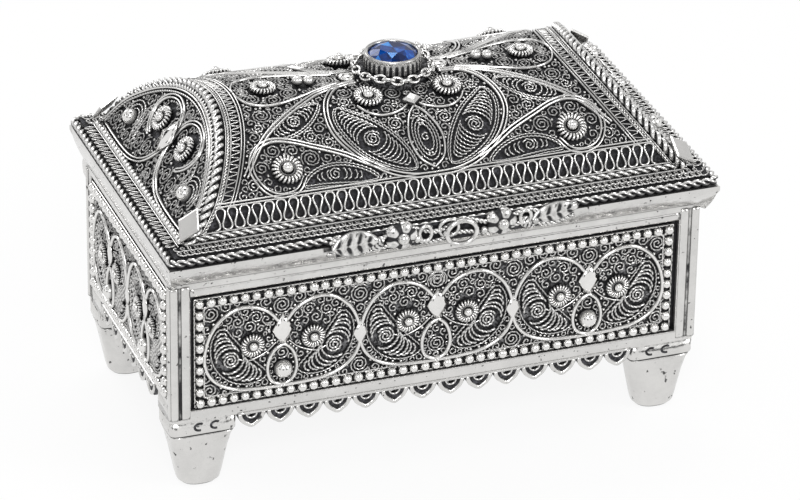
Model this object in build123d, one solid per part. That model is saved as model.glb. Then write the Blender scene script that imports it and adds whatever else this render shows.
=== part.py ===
from build123d import *
import math
import os

os.makedirs("parts", exist_ok=True)

# Filigree reliquary box with a hinged vaulted lid.
# X runs along the long side, the front is at -Y, Z is up and the soles of the feet stand at Z = 0.
# All sizes are in millimetres.

# Box body
body_length = 106.0
body_depth = 53.5
body_height = 29.3
side_rise = 3.3
post_width = 2.6
post_depth = 2.0
groove_offset = 1.6
groove_width = 0.6
groove_depth = 0.8
groove_end = 0.8
corner_round = 0.8
frame_thickness = 1.5
frame_edge_round = 0.3
stile_width = 1.4
side_stile_width = 0.7
top_rail = 1.4
bottom_rail = 2.2
side_bottom_rail = 0.8
wall_thickness = 1.0
floor_thickness = 1.2

# Filigree panels of the body
panel_gap = 0.15
panel_end_gap = 0.9
panel_top_gap = 2.6
side_panel_top_gap = 1.2
panel_thickness = 0.35
side_panel_thickness = 0.85
bead_strip_width = 1.9
bead_strip_height = 0.95
bead_strip_bevel = 0.38
scroll_pitch = 30.6
side_scroll_pitch = 20.0
scroll_wire = 0.9
scroll_ring_radius = 7.9
scroll_ring_spread = 7.4
scroll_margin = 2.3
scroll_lozenge_height = 6.0
scroll_lozenge_width = 3.4
scroll_lozenge_relief = 1.1
scroll_boss_radius = 1.6

# Scalloped aprons
scallop_pitch = 5.7
scallop_drop = 2.2
scallop_header = 0.4
crescent_radius = 1.0
crescent_thickness = 0.45

# Feet
foot_height = 11.7
foot_block_height = 3.2
foot_width = 13.0
foot_depth = 8.6
foot_line_depth = 0.35
foot_line_width = 0.4
foot_line_share = 0.75
foot_sole_round = 1.3
# Sections of the leg: share of its height, width, depth, centre from the corner along X and Y, corner radius
foot_levels = [(1.0, 13.0, 8.6, 6.5, 4.3, 0.8), (0.68, 11.7, 7.9, 6.5, 4.3, 2.4),
               (0.33, 9.3, 7.0, 6.2, 4.4, 3.0), (0.0, 6.9, 6.0, 5.8, 4.5, 2.6)]

# Hinge along the back
knuckle_radius = 1.75
pin_radius = 0.9
pin_clearance = 0.05
knuckle_count = 5
knuckle_gap = 0.25
hinge_wall_gap = 0.2
hinge_top_gap = 0.25
hinge_end_inset = 1.0
pin_head_radius = 2.0
pin_head_thickness = 0.6
pin_end_gap = 0.1
pin_head_round = 0.18
web_overlap = 0.3

# Lid rim
lid_gap = 0.1
overhang_side = 2.0
overhang_front = 5.75
rim_height = 7.7
rim_face_height = 2.7
rim_inner_width = 3.8
rim_bulge = 0.07
rope_radius = 1.0
rope_inset = 0.5
rope_drop = 0.8
mesh_thickness = 0.5
mesh_width_side = 1.35
mesh_width_front = 3.2
bead_row_width = 1.3
bead_row_height = 0.7

# Vault of the lid
margin_side = 4.7
margin_front = 6.5
vault_rise = 15.7
shoulder_radius = 10.0
vault_sheet = 0.8
end_slope = 0.8
arch_rope = 1.5
arch_rope_relief = 1.3
arch_band = 4.1
arch_band_relief = 0.5
ribbon_bottom = 1.7
ribbon_top = 6.0
ribbon_relief = 0.45
ledge_width = 0.7
ledge_relief = 0.7
skin_relief = 0.4
foot_wire_height = 1.4
foot_wire_relief = 0.9

# Ornaments on the vault, placed by X and by arc length from the crown
rosette_radius = 2.7
rosette_height = 1.0
rosette_taper = 0.72
rosette_ball = 1.0
rosette_places = [(7.9, 8.0), (28.0, 21.5), (26.0, 0.0)]
ball_radius = 0.95
ball_pair_place = (18.0, 0.0)
ball_pair_spacing = 1.0
end_rosette_radius = 2.3
end_rosette_places = [(-6.2, 8.4), (6.6, 7.4)]
corner_lozenge_length = 7.4
corner_lozenge_width = 4.4
corner_lozenge_relief = 0.6
corner_lozenge_out = 1.9
lozenge_bevel_share = 0.4
pad_radius = 1.7
pad_height = 1.1
pad_round_share = 0.4
pad_place = (9.2, 0.0)
crown_lozenge_length = 3.2
crown_lozenge_width = 3.6
crown_lozenge_height = 1.2
crown_lozenge_place = (0.0, 10.3)

# Stone setting at the crown
collar_radius = 6.8
collar_height = 1.6
chain_radius = 7.0
chain_wire = 0.9
bezel_radius = 5.6
bezel_wall = 0.8
bezel_height = 3.1
bezel_seat = 0.8
bezel_waist = 1.55
bezel_flare = 2.3
stone_gap = 0.06
stone_sides = 16
stone_depth = 0.7
stone_belt_drop = 0.3
stone_ledge = 0.5
stone_crown = 0.7
stone_table_radius = 2.9
stone_culet_radius = 1.5

# Thumb lift on the front edge of the lid, places along X
lift_reach = 2.0
lift_bar_height = 1.0
lift_bar_back = 0.9
lift_bar_length = 50.0
lift_ring_radius = 2.3
lift_ring_wire = 0.6
lift_flower_radius = lift_reach
lift_flower_places = [-11.8, 8.6]
lift_leaf_length = 8.6
lift_leaf_height = 4.6
lift_leaf_thickness = 0.7
lift_leaf_places = [-20.4, 19.8]

# Levels and half sizes worked out from the driving dimensions
half_length = body_length / 2
half_depth = body_depth / 2
rail_z = foot_height + foot_block_height
side_rail_z = rail_z + side_rise
floor_z = side_rail_z
seam_z = rail_z + body_height
lid_z = seam_z + lid_gap
rim_top = lid_z + rim_height
rim_half_length = half_length + overhang_side
rim_half_depth = half_depth + overhang_front
wall_face = frame_thickness + wall_thickness
vault_half_length = rim_half_length - margin_side
arch_half = rim_half_depth - margin_front
crown_z = rim_top + vault_rise
lift_shift = lift_reach / 2


def save(name, shape):
    # The box stands centred on its overall length and depth, so the thumb lift moves it back a little.
    parts = shape if isinstance(shape, list) else [shape]
    moved = [Location((0, lift_shift, 0)) * part for part in parts]
    solids = [solid for part in moved for solid in part.solids()]
    export_step(Compound(children=solids) if len(solids) > 1 else solids[0], f"parts/{name}.step")
    print(name, len(solids))


def block(x0, x1, y0, y1, z0, z1):
    # Box between two opposite corners.
    return Pos((x0 + x1) / 2, (y0 + y1) / 2, (z0 + z1) / 2) * Box(x1 - x0, y1 - y0, z1 - z0)


def on_face(side, across, out):
    # Plane standing on one of the four sides: its local x runs along the side and its z points outwards.
    turns = {"front": (0, -1), "back": (0, 1), "left": (-1, 0), "right": (1, 0)}
    nx, ny = turns[side]
    reach = (half_depth if ny else half_length) - frame_thickness + out
    return Plane(origin=(nx * reach, ny * reach, across), x_dir=(-ny, nx, 0), z_dir=(nx, ny, 0))


def side_size(side):
    # Half the width between the posts, and the level of the bottom rail, of one side.
    if side in ("front", "back"):
        return half_length - post_width, rail_z
    return half_depth - post_depth, side_rail_z


def opening_size(side):
    # Half width, bottom and top of the framed opening of one side.
    half_width, bottom = side_size(side)
    if side in ("front", "back"):
        return half_width - stile_width, bottom + bottom_rail, seam_z - top_rail
    return half_width - side_stile_width, bottom + side_bottom_rail, seam_z - top_rail


def panel_size(side):
    # Half width, bottom, top and thickness of the filigree panel set into an opening.
    open_half, open_bottom, open_top = opening_size(side)
    if side in ("front", "back"):
        return open_half - panel_end_gap, open_bottom + panel_gap, open_top - panel_top_gap, panel_thickness
    return open_half - panel_gap, open_bottom + panel_gap, open_top - side_panel_top_gap, side_panel_thickness


# Body of the box

def corner_post(sx, sy):
    # Post with a rounded outer edge and a groove down its long face.
    x1, y1 = half_length, half_depth
    post = block(x1 - post_width, x1, y1 - post_depth, y1, rail_z, seam_z)
    outer = post.edges().filter_by(Axis.Z).sort_by(lambda e: e.center().X + e.center().Y)[-1]
    post = fillet(outer, corner_round)
    near = groove_offset
    far = groove_offset + groove_width
    post -= block(x1 - far, x1 - near, y1 - groove_depth, y1 + 1, rail_z + groove_end, seam_z - groove_end)
    post = post if sx > 0 else mirror(post, Plane.YZ)
    return post if sy > 0 else mirror(post, Plane.XZ)


def side_wall(side):
    # Plain backing sheet behind a frame, between the posts.
    half_width, bottom = side_size(side)
    plane = on_face(side, 0, 0)
    sheet = Pos(0, (bottom + seam_z) / 2) * Rectangle(2 * half_width, seam_z - bottom)
    return extrude(plane * sheet, -wall_thickness)


def side_frame(side):
    # Frame of rails and stiles, its face edges eased.
    half_width, bottom = side_size(side)
    open_half, open_bottom, open_top = opening_size(side)
    plane = on_face(side, 0, 0)
    outline = Pos(0, (bottom + seam_z) / 2) * Rectangle(2 * half_width, seam_z - bottom)
    opening = Pos(0, (open_bottom + open_top) / 2) * Rectangle(2 * open_half, open_top - open_bottom)
    frame = extrude(plane * (outline - opening), frame_thickness)
    face = frame.faces().sort_by(Axis(plane.origin, plane.z_dir))[-1]
    return fillet(face.inner_wires()[0].edges(), frame_edge_round)


def panel_ground(side):
    # Thin ground sheet of a filigree panel, soldered to the wall inside the frame.
    half, low, high, thickness = panel_size(side)
    plane = on_face(side, (low + high) / 2, 0)
    return extrude(plane * Rectangle(2 * half, high - low), thickness)


def bead_border(side):
    # Granulated strip round the edge of a panel.
    half, low, high, thickness = panel_size(side)
    plane = on_face(side, (low + high) / 2, thickness)
    width = 2 * half
    height = high - low
    inner = Rectangle(width - 2 * bead_strip_width, height - 2 * bead_strip_width)
    strip = extrude(plane * (Rectangle(width, height) - inner), bead_strip_height)
    face = strip.faces().sort_by(Axis(plane.origin, plane.z_dir))[-1]
    return chamfer(face.edges(), bead_strip_bevel)


def scroll_centres(side):
    # Centres of the two-lobed scrolls, evenly spaced along the panel.
    room = 2 * (panel_size(side)[0] - bead_strip_width)
    count = max(1, int(room // (scroll_pitch if side in ("front", "back") else side_scroll_pitch)))
    pitch = room / count
    return [pitch * (i - (count - 1) / 2) for i in range(count)], pitch


def panel_scrolls(side):
    # Two-lobed wire scrolls, one lozenge above each and one between neighbours.
    half, low, high, thickness = panel_size(side)
    plane = on_face(side, (low + high) / 2, thickness)
    room = (high - low) / 2 - bead_strip_width
    centres, pitch = scroll_centres(side)
    spread = min(scroll_ring_spread, pitch / 4)
    ring = min(scroll_ring_radius, room - panel_gap, pitch / 2 - spread - panel_gap)
    pieces = []
    for centre in centres:
        lobes = Pos(centre - spread, 0) * Circle(ring) + Pos(centre + spread, 0) * Circle(ring)
        inner = Pos(centre - spread, 0) * Circle(ring - scroll_wire)
        inner += Pos(centre + spread, 0) * Circle(ring - scroll_wire)
        top = scroll_lozenge_height
        lozenge = Polygon((centre - scroll_lozenge_width / 2, 0), (centre, -top / 2),
                          (centre + scroll_lozenge_width / 2, 0), (centre, top / 2), align=None)
        wires = extrude(plane * (lobes - inner), scroll_wire)
        pieces.append(wires + extrude(plane * lozenge, scroll_lozenge_relief))
        for lobe in (-1, 1):
            boss_place = plane * Pos(centre + lobe * spread, 0)
            pieces.append(boss_place * extrude(Circle(scroll_boss_radius), scroll_wire))
    return pieces


def apron(side, half_span, bottom):
    # Scalloped strip under a bottom rail, a crescent cut through each scallop.
    count = max(1, round(2 * half_span / scallop_pitch))
    pitch = 2 * half_span / count
    plane = on_face(side, bottom, 0)
    radius = (pitch * pitch / 4 + scallop_drop * scallop_drop) / (2 * scallop_drop)
    shape = Sketch()
    for i in range(count):
        middle = -half_span + pitch * (i + 0.5)
        shape += Pos(middle, radius - scallop_drop - scallop_header) * Circle(radius)
    shape &= Pos(0, -scallop_header - scallop_drop / 2) * Rectangle(2 * half_span, scallop_drop)
    shape += Pos(0, -scallop_header / 2) * Rectangle(2 * half_span, scallop_header)
    for i in range(count):
        middle = -half_span + pitch * (i + 0.5)
        moon = Pos(middle, -scallop_header) * Circle(crescent_radius)
        moon -= Pos(middle, crescent_thickness) * Circle(crescent_radius)
        moon &= Pos(middle, -scallop_header - crescent_radius / 2) * Rectangle(pitch, crescent_radius)
        shape -= moon
    return extrude(plane * shape, frame_thickness)


def foot(sx, sy):
    # Corner block under the post, an ear beside it, and a leg that tapers to a small rounded sole.
    x1, y1 = half_length, half_depth
    top = block(x1 - foot_width, x1, y1 - foot_depth, y1, foot_height, rail_z)
    outer = top.edges().filter_by(Axis.Z).sort_by(lambda e: e.center().X + e.center().Y)[-1]
    top = fillet(outer, corner_round)
    ear = block(x1 - wall_face, x1, y1 - foot_depth, y1 - post_depth, rail_z, side_rail_z)
    sections = []
    for share, wide, deep, from_x, from_y, corner in foot_levels:
        place = Plane(origin=(x1 - from_x, y1 - from_y, foot_height * share))
        sections.append(place * RectangleRounded(wide, deep, corner))
    leg = loft(sections)
    leg = fillet(leg.faces().sort_by(Axis.Z)[0].edges(), foot_sole_round)
    shape = top + leg + ear - foot_line()
    shape = shape if sx > 0 else mirror(shape, Plane.YZ)
    return shape if sy > 0 else mirror(shape, Plane.XZ)


def foot_line():
    # Incised line round the outside of a foot where the leg meets its block.
    x1, y1 = half_length, half_depth
    low, high = foot_height - foot_line_width / 2, foot_height + foot_line_width / 2
    line = block(x1 - foot_width * foot_line_share, x1 + 1, y1 - foot_depth, y1 + 1, low, high)
    return line - block(x1 - foot_width, x1 - foot_line_depth, y1 - foot_depth - 1, y1 - foot_line_depth, low, high)


# Hinge

hinge_y = half_depth + hinge_wall_gap + knuckle_radius
hinge_z = seam_z - hinge_top_gap - knuckle_radius
hinge_half = half_length - hinge_end_inset


def knuckle_spans():
    # Start and end of each knuckle along X.
    pitch = 2 * hinge_half / knuckle_count
    return [(-hinge_half + pitch * i + knuckle_gap / 2, -hinge_half + pitch * (i + 1) - knuckle_gap / 2)
            for i in range(knuckle_count)]


def knuckle(x0, x1):
    # Tube round the pin, with running clearance.
    middle = (x0 + x1) / 2
    tube = Circle(knuckle_radius) - Circle(pin_radius + pin_clearance)
    return Pos(middle, hinge_y, hinge_z) * extrude(Plane.YZ * tube, (x1 - x0) / 2, both=True)


def hinge_body_leaf():
    # Odd knuckles with a web to the back frame.
    pieces = []
    for x0, x1 in knuckle_spans()[0::2]:
        web = block(x0, x1, half_depth, hinge_y, hinge_z - knuckle_radius, hinge_z)
        web -= Pos((x0 + x1) / 2, hinge_y, hinge_z) * Rot(0, 90, 0) * Cylinder(knuckle_radius, x1 - x0)
        bore = Pos((x0 + x1) / 2, hinge_y, hinge_z) * Rot(0, 90, 0) * Cylinder(knuckle_radius - web_overlap, x1 - x0)
        pieces.append(knuckle(x0, x1) + (web - bore))
    return pieces


def hinge_lid_leaf(rail):
    # Even knuckles with a web up to the underside of the lid's rim.
    pieces = []
    for x0, x1 in knuckle_spans()[1::2]:
        web = block(x0, x1, half_depth + hinge_wall_gap, hinge_y + knuckle_radius, hinge_z, rim_top)
        web -= Pos((x0 + x1) / 2, hinge_y, hinge_z) * Rot(0, 90, 0) * Cylinder(knuckle_radius - web_overlap, x1 - x0)
        web -= rail
        web = web.solids().sort_by(Axis.Z)[0]
        pieces.append(knuckle(x0, x1) + web)
    return pieces


def hinge_pin():
    # Rod through every knuckle, with a flat head at each end.
    rod = Pos(0, hinge_y, hinge_z) * Rot(0, 90, 0) * Cylinder(pin_radius, 2 * (hinge_half + pin_end_gap))
    for end in (-1, 1):
        x = end * (hinge_half + pin_end_gap + pin_head_thickness / 2)
        head = Rot(0, 90, 0) * Cylinder(pin_head_radius, pin_head_thickness)
        rod += Pos(x, hinge_y, hinge_z) * fillet(head.edges(), pin_head_round)
    return rod


# Lid rim

def rim_profile(half_reach, overhang):
    # Section of the rim: flat underside, full curve outwards, upright face, rebate for the rope and flat top.
    low_out = half_reach - overhang
    face_out = half_reach - rope_inset
    face_low = rim_height - rim_face_height
    bulge = rim_bulge * overhang
    middle = ((low_out + face_out) / 2 + bulge, face_low / 2 - bulge)
    inner = low_out - rim_inner_width
    rebate_x = half_reach - 2 * rope_radius
    rebate_z = rim_height - rope_drop - rope_radius
    line = Polyline((face_out, face_low), (face_out, rebate_z), (rebate_x, rebate_z), (rebate_x, rim_height),
                    (inner, rim_height), (inner, 0), (low_out, 0))
    curve = ThreePointArc((low_out, 0), middle, (face_out, face_low))
    return make_face(line.edges() + curve.edges())


def rim_rail(side):
    # One side of the rim, mitred to its neighbours.
    along_x = side in ("front", "back")
    half_reach = rim_half_depth if along_x else rim_half_length
    overhang = overhang_front if along_x else overhang_side
    length = rim_half_length if along_x else rim_half_depth
    sign = -1 if side in ("front", "left") else 1
    if along_x:
        plane = Plane(origin=(0, 0, lid_z), x_dir=(0, sign, 0), z_dir=(sign, 0, 0))
    else:
        plane = Plane(origin=(0, 0, lid_z), x_dir=(sign, 0, 0), z_dir=(0, -sign, 0))
    rail = extrude(plane * rim_profile(half_reach, overhang), length, both=True)
    inner_x = half_length - rim_inner_width
    inner_y = half_depth - rim_inner_width
    run_x = rim_half_length - inner_x
    run_y = rim_half_depth - inner_y
    far_x = inner_x + 2 * run_x
    far_y = inner_y + 2 * run_y
    if along_x:
        outline = Polygon((inner_x, sign * inner_y), (far_x, sign * far_y), (-far_x, sign * far_y),
                          (-inner_x, sign * inner_y), align=None)
    else:
        outline = Polygon((sign * inner_x, inner_y), (sign * far_x, far_y), (sign * far_x, -far_y),
                          (sign * inner_x, -inner_y), align=None)
    wedge = extrude(Pos(0, 0, lid_z) * outline, rim_height, dir=(0, 0, 1))
    rail = rail & wedge
    if along_x:
        for end in (-1, 1):
            x0, x1 = sorted((end * (rim_half_length - 2 * rope_radius), end * rim_half_length))
            rail -= block(x0, x1, -rim_half_depth, rim_half_depth, rim_top - rope_drop - rope_radius, rim_top)
    return rail


def edge_rope():
    # Rope moulding round the rim's upright face, one rod a side.
    z = rim_top - rope_drop
    rods = []
    for sign in (-1, 1):
        y = sign * (rim_half_depth - rope_radius)
        x = sign * (rim_half_length - rope_radius)
        long_rod = Rot(0, 90, 0) * Cylinder(rope_radius, 2 * rim_half_length)
        short_rod = Rot(90, 0, 0) * Cylinder(rope_radius, 2 * (rim_half_depth - 2 * rope_radius))
        rods.append(Pos(0, y, z) * long_rod)
        rods.append(Pos(x, 0, z) * short_rod)
    return rods


def rim_strips():
    # Coiled-wire strips on the flat of the rim between the edge rope and the vault, one a side.
    outer_x = rim_half_length - 2 * rope_radius
    outer_y = rim_half_depth - 2 * rope_radius
    strips = []
    for sign in (-1, 1):
        x0, x1 = sorted((sign * outer_x, sign * (outer_x - mesh_width_side)))
        y0, y1 = sorted((sign * outer_y, sign * (outer_y - mesh_width_front)))
        strips.append(block(x0, x1, -outer_y, outer_y, rim_top, rim_top + mesh_thickness))
        inner = outer_x - mesh_width_side
        strips.append(block(-inner, inner, y0, y1, rim_top, rim_top + mesh_thickness))
    return strips


def rim_bead_rows():
    # Rows of granules at the foot of the vault's two leaning ends.
    reach = arch_half - bead_row_width
    rows = []
    for sign in (-1, 1):
        x0, x1 = sorted((sign * vault_half_length, sign * (vault_half_length + bead_row_width)))
        rows.append(block(x0, x1, -reach, reach, rim_top, rim_top + bead_row_height))
    return rows


# Vault of the lid

crown_radius = (arch_half ** 2 + vault_rise ** 2 - 2 * arch_half * shoulder_radius)
crown_radius = crown_radius / (2 * (vault_rise - shoulder_radius))
crown_angle = math.atan2(arch_half - shoulder_radius, crown_radius - vault_rise)


def arch_face(out):
    # Three-arc arch, grown outwards by a distance, with a flat foot.
    centre_y = arch_half - shoulder_radius
    radius = shoulder_radius + out
    joint = (centre_y + radius * math.sin(crown_angle), radius * math.cos(crown_angle))
    half_turn = (math.pi / 2 - crown_angle) / 2
    middle = (centre_y + radius * math.cos(half_turn), radius * math.sin(half_turn))
    foot_end = (arch_half + out, 0)
    top = (0, vault_rise + out)

    def other(point):
        return (-point[0], point[1])

    arcs = [ThreePointArc(foot_end, middle, joint), ThreePointArc(joint, top, other(joint)),
            ThreePointArc(other(joint), other(middle), other(foot_end)), Line(other(foot_end), foot_end)]
    return make_face([arc.edge() for arc in arcs])


def barrel(out):
    # Solid barrel along X above the rim.
    return Pos(0, 0, rim_top) * extrude(Plane.YZ * arch_face(out), rim_half_length, both=True)


def between_ends(inset):
    # Block whose two ends lean inwards like the ends of the vault, moved in by a distance along X.
    top = vault_rise + skin_relief + arch_rope_relief
    low = vault_half_length - inset
    high = low - end_slope * top
    outline = Polygon((low, 0), (high, top), (-high, top), (-low, 0), align=None)
    return Pos(0, 0, rim_top) * extrude(Plane.XZ * outline, rim_half_depth, both=True)


def skin(out, outer_inset, inner_inset=None):
    # Layer on the barrel between two leaning cuts.
    layer = (barrel(out) - barrel(0)) & between_ends(outer_inset)
    return layer if inner_inset is None else layer - between_ends(inner_inset)


def level_band(low, high, sign):
    # Slab between two heights above the rim, on the front or the back half.
    y0, y1 = sorted((0, sign * rim_half_depth))
    return block(-rim_half_length, rim_half_length, y0, y1, rim_top + low, rim_top + high)


def vault_place(x, arc, out):
    # Place on the vault at X and at an arc length from the crown, local z pointing out of the surface.
    sign = 1 if arc >= 0 else -1
    reach = abs(arc)
    crown_arc = crown_radius * crown_angle
    if reach <= crown_arc:
        angle = reach / crown_radius
        y = crown_radius * math.sin(angle)
        z = vault_rise - crown_radius + crown_radius * math.cos(angle)
    else:
        angle = crown_angle + (reach - crown_arc) / shoulder_radius
        y = arch_half - shoulder_radius + shoulder_radius * math.sin(angle)
        z = shoulder_radius * math.cos(angle)
    y += out * math.sin(angle)
    z += out * math.cos(angle)
    return Pos(x, sign * y, rim_top + z) * Rot(-sign * math.degrees(angle), 0, 0)


def end_place(side, y, rise, out):
    # Place on a leaning end of the vault at Y and at a height above the rim.
    lean = math.degrees(math.atan(1 / end_slope))
    x = vault_half_length - end_slope * rise
    normal_x = math.sin(math.radians(lean))
    normal_z = math.cos(math.radians(lean))
    place = Pos(side * (x + out * normal_x), y, rim_top + rise + out * normal_z)
    return place * Rot(0, side * lean, 0)


def rosette(radius):
    # Low coiled boss with a granule on top.
    boss = Pos(0, 0, rosette_height / 2) * Cone(radius, radius * rosette_taper, rosette_height)
    return boss + Pos(0, 0, rosette_height + rosette_ball / 2) * Sphere(rosette_ball)


def mirrored_places(places):
    # Every place with its mirror images across both middles.
    found = []
    for x, arc in places:
        for spot in ((x, arc), (-x, arc), (x, -arc), (-x, -arc)):
            if spot not in found:
                found.append(spot)
    return found


def rosettes():
    # Rosettes of the vault and of its two ends.
    pieces = [vault_place(x, arc, skin_relief) * rosette(rosette_radius)
              for x, arc in mirrored_places(rosette_places)]
    for side in (-1, 1):
        for y, rise in end_rosette_places:
            pieces.append(end_place(side, side * y, rise, 0) * rosette(end_rosette_radius))
    return pieces


def granule_pairs():
    # Pairs of granules on the crown.
    x0, arc = ball_pair_place
    pieces = []
    for x in (-x0, x0):
        for step in (-ball_pair_spacing, ball_pair_spacing):
            pieces.append(vault_place(x + step, arc, skin_relief + ball_radius) * Sphere(ball_radius))
    return pieces


def flower_pads():
    # Flat discs on the crown at both sides of the setting.
    x0, arc = pad_place
    pad = fillet(Cylinder(pad_radius, pad_height).edges().sort_by(Axis.Z)[-1], pad_height * pad_round_share)
    return [vault_place(x, arc, skin_relief + pad_height / 2) * pad for x in (-x0, x0)]


def crown_lozenges():
    # Raised lozenges in front of and behind the setting.
    x0, arc = crown_lozenge_place
    shape = lozenge(crown_lozenge_length, crown_lozenge_width, crown_lozenge_height)
    return [vault_place(x0, spot, skin_relief) * shape for spot in (-arc, arc)]


def lozenge(length, width, thick):
    # Flat lozenge with bevelled edges.
    shape = extrude(Polygon((-width / 2, 0), (0, -length / 2), (width / 2, 0), (0, length / 2), align=None), thick)
    return chamfer(shape.faces().sort_by(Axis.Z)[-1].edges(), thick * lozenge_bevel_share)


def corner_lozenges():
    # Polished lozenges that lie over the foot of the arch ropes at the four corners of the vault.
    rise = corner_lozenge_length
    lean_y = shoulder_radius - math.sqrt(shoulder_radius ** 2 - rise ** 2)
    low = Vector(vault_half_length, arch_half, 0)
    high = Vector(vault_half_length - end_slope * rise, arch_half - lean_y, rise)
    up = (high - low).normalized()
    out = Vector(1, 1, 0)
    out = (out - up * out.dot(up)).normalized()
    across = up.cross(out)
    middle = low + up * (corner_lozenge_length / 2) + out * corner_lozenge_out + Vector(0, 0, rim_top)
    plate = Plane(origin=middle, x_dir=across, z_dir=out) * lozenge(corner_lozenge_length, corner_lozenge_width,
                                                                   corner_lozenge_relief)
    pieces = []
    for sx in (-1, 1):
        for sy in (-1, 1):
            shape = plate if sx > 0 else mirror(plate, Plane.YZ)
            pieces.append(shape if sy > 0 else mirror(shape, Plane.XZ))
    return pieces


# Setting

def collar():
    # Round seat on the crown for the chain ring and the bezel cup.
    top = crown_z + collar_height
    seat = Pos(0, 0, (rim_top + top) / 2) * Cylinder(collar_radius, top - rim_top)
    return seat - barrel(0)


def chain_ring():
    # Ring of twisted links round the foot of the bezel cup, resting on the collar.
    return Pos(0, 0, crown_z + collar_height + chain_wire) * Torus(chain_radius - chain_wire / 2, chain_wire)


def bezel_cup():
    # Cup that holds the stone on a ledge, standing on the collar.
    foot_radius = chain_radius - 2 * chain_wire - stone_gap
    inner = bezel_radius - bezel_wall
    ledge_z = bezel_height - stone_depth
    profile = Polyline((0, 0), (foot_radius, 0), (foot_radius, bezel_waist), (bezel_radius, bezel_flare),
                       (bezel_radius, bezel_height), (inner, bezel_height), (inner, ledge_z),
                       (inner - stone_ledge, ledge_z), (inner - stone_ledge, bezel_seat), (0, bezel_seat), (0, 0))
    return Pos(0, 0, crown_z + collar_height) * revolve(Plane.XZ * make_face(profile.edges()), Axis.Z)


def stone():
    # Round faceted stone: belt, crown with a flat table, and a pavilion below the ledge.
    girdle = bezel_radius - bezel_wall - stone_gap
    low = bezel_height - stone_depth
    belt_top = bezel_height - stone_belt_drop
    below = girdle - stone_ledge - stone_gap
    belt = Pos(0, 0, low) * extrude(RegularPolygon(girdle, stone_sides), belt_top - low)
    crown = loft([Pos(0, 0, belt_top) * RegularPolygon(girdle, stone_sides),
                  Pos(0, 0, bezel_height + stone_crown) * RegularPolygon(stone_table_radius, stone_sides)], ruled=True)
    pavilion = loft([Pos(0, 0, bezel_seat + stone_gap) * RegularPolygon(stone_culet_radius, stone_sides),
                     Pos(0, 0, low) * RegularPolygon(below, stone_sides)], ruled=True)
    return Pos(0, 0, crown_z + collar_height) * (belt + crown + pavilion)


def thumb_lift():
    # Bar on the rim's face that carries a ring, two flowers and two leaves.
    front = -rim_half_depth
    z = rim_top - rope_drop
    low = z - lift_bar_height / 2
    lift = block(-lift_bar_length / 2, lift_bar_length / 2, front - lift_bar_back, front, low, low + lift_bar_height)
    ring = Rot(90, 0, 0) * Torus(lift_ring_radius, lift_ring_wire)
    lift += Pos(0, front - lift_bar_back, z) * ring
    for x in lift_flower_places:
        ball = Pos(x, front, z) * Sphere(lift_flower_radius)
        room = lift_flower_radius
        lift += ball & block(x - room, x + room, front - room, front, z - room, z + room)
    for x in lift_leaf_places:
        leaf = Rot(90, 0, 0) * extrude(Ellipse(lift_leaf_length / 2, lift_leaf_height / 2), lift_leaf_thickness)
        lift += Pos(x, front, z) * leaf
    return lift


# Write every piece

sides = ("front", "back", "left", "right")
corners = {"front_left": (-1, -1), "front_right": (1, -1), "back_left": (-1, 1), "back_right": (1, 1)}

save("corner_posts", [corner_post(sx, sy) for sx, sy in corners.values()])
for name, (sx, sy) in corners.items():
    save(f"foot_{name}", foot(sx, sy))

for side in sides:
    save(f"{side}_wall", side_wall(side))
    save(f"{side}_frame", side_frame(side))
    save(f"{side}_panel_ground", panel_ground(side))
    save(f"{side}_bead_border", bead_border(side))
    save(f"{side}_scrolls", panel_scrolls(side))
    if side in ("front", "back"):
        save(f"{side}_apron", apron(side, half_length - foot_width, rail_z))
    else:
        save(f"{side}_apron", apron(side, half_depth - foot_depth, side_rail_z))

floor_plate = block(-half_length + wall_face, half_length - wall_face, -half_depth + wall_face,
                    half_depth - wall_face, floor_z, floor_z + floor_thickness)
save("floor_plate", floor_plate)

rails = {side: rim_rail(side) for side in sides}
for side in sides:
    save(f"lid_rim_{side}", rails[side])
save("hinge_body_leaf", hinge_body_leaf())
save("hinge_lid_leaf", hinge_lid_leaf(rails["back"]))
save("hinge_pin", hinge_pin())
save("edge_rope", edge_rope())

save("rim_coil_strips", rim_strips())
save("rim_bead_rows", rim_bead_rows())

save("vault_shell", (barrel(0) - barrel(-vault_sheet)) & between_ends(0))
ends = (barrel(-vault_sheet) & between_ends(0)) - between_ends(vault_sheet * math.hypot(1, end_slope))
for side, part in zip(("left", "right"), ends.solids().sort_by(Axis.X)):
    save(f"vault_end_{side}", part)
field = arch_rope + arch_band
save("arch_ropes", skin(arch_rope_relief, 0, arch_rope))
save("arch_bands", skin(arch_band_relief, arch_rope, field))
ribbons = []
ribbon_edges = []
top_layer = skin(skin_relief, field)
for sign in (-1, 1):
    ribbons.append(skin(ribbon_relief, field) & level_band(ribbon_bottom, ribbon_top, sign))
    ribbon_edges.append(skin(foot_wire_relief, field) & level_band(0, ribbon_bottom, sign))
    ribbon_edges.append(skin(ledge_relief, field) & level_band(ribbon_top, ribbon_top + ledge_width, sign))
    top_layer -= level_band(0, ribbon_top + ledge_width, sign)
save("meander_ribbons", ribbons)
save("ribbon_edges", ribbon_edges)
top_layer -= collar()
save("vault_filigree", top_layer)
save("rosettes", rosettes())
save("granule_pairs", granule_pairs())
save("flower_pads", flower_pads())
save("crown_lozenges", crown_lozenges())
save("corner_lozenges", corner_lozenges())
save("setting_collar", collar())
save("chain_ring", chain_ring())
save("bezel_cup", bezel_cup())
save("stone", stone())
save("thumb_lift", thumb_lift())
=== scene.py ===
import math
import bpy
import numpy as np
from mathutils import Matrix, Vector


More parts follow.
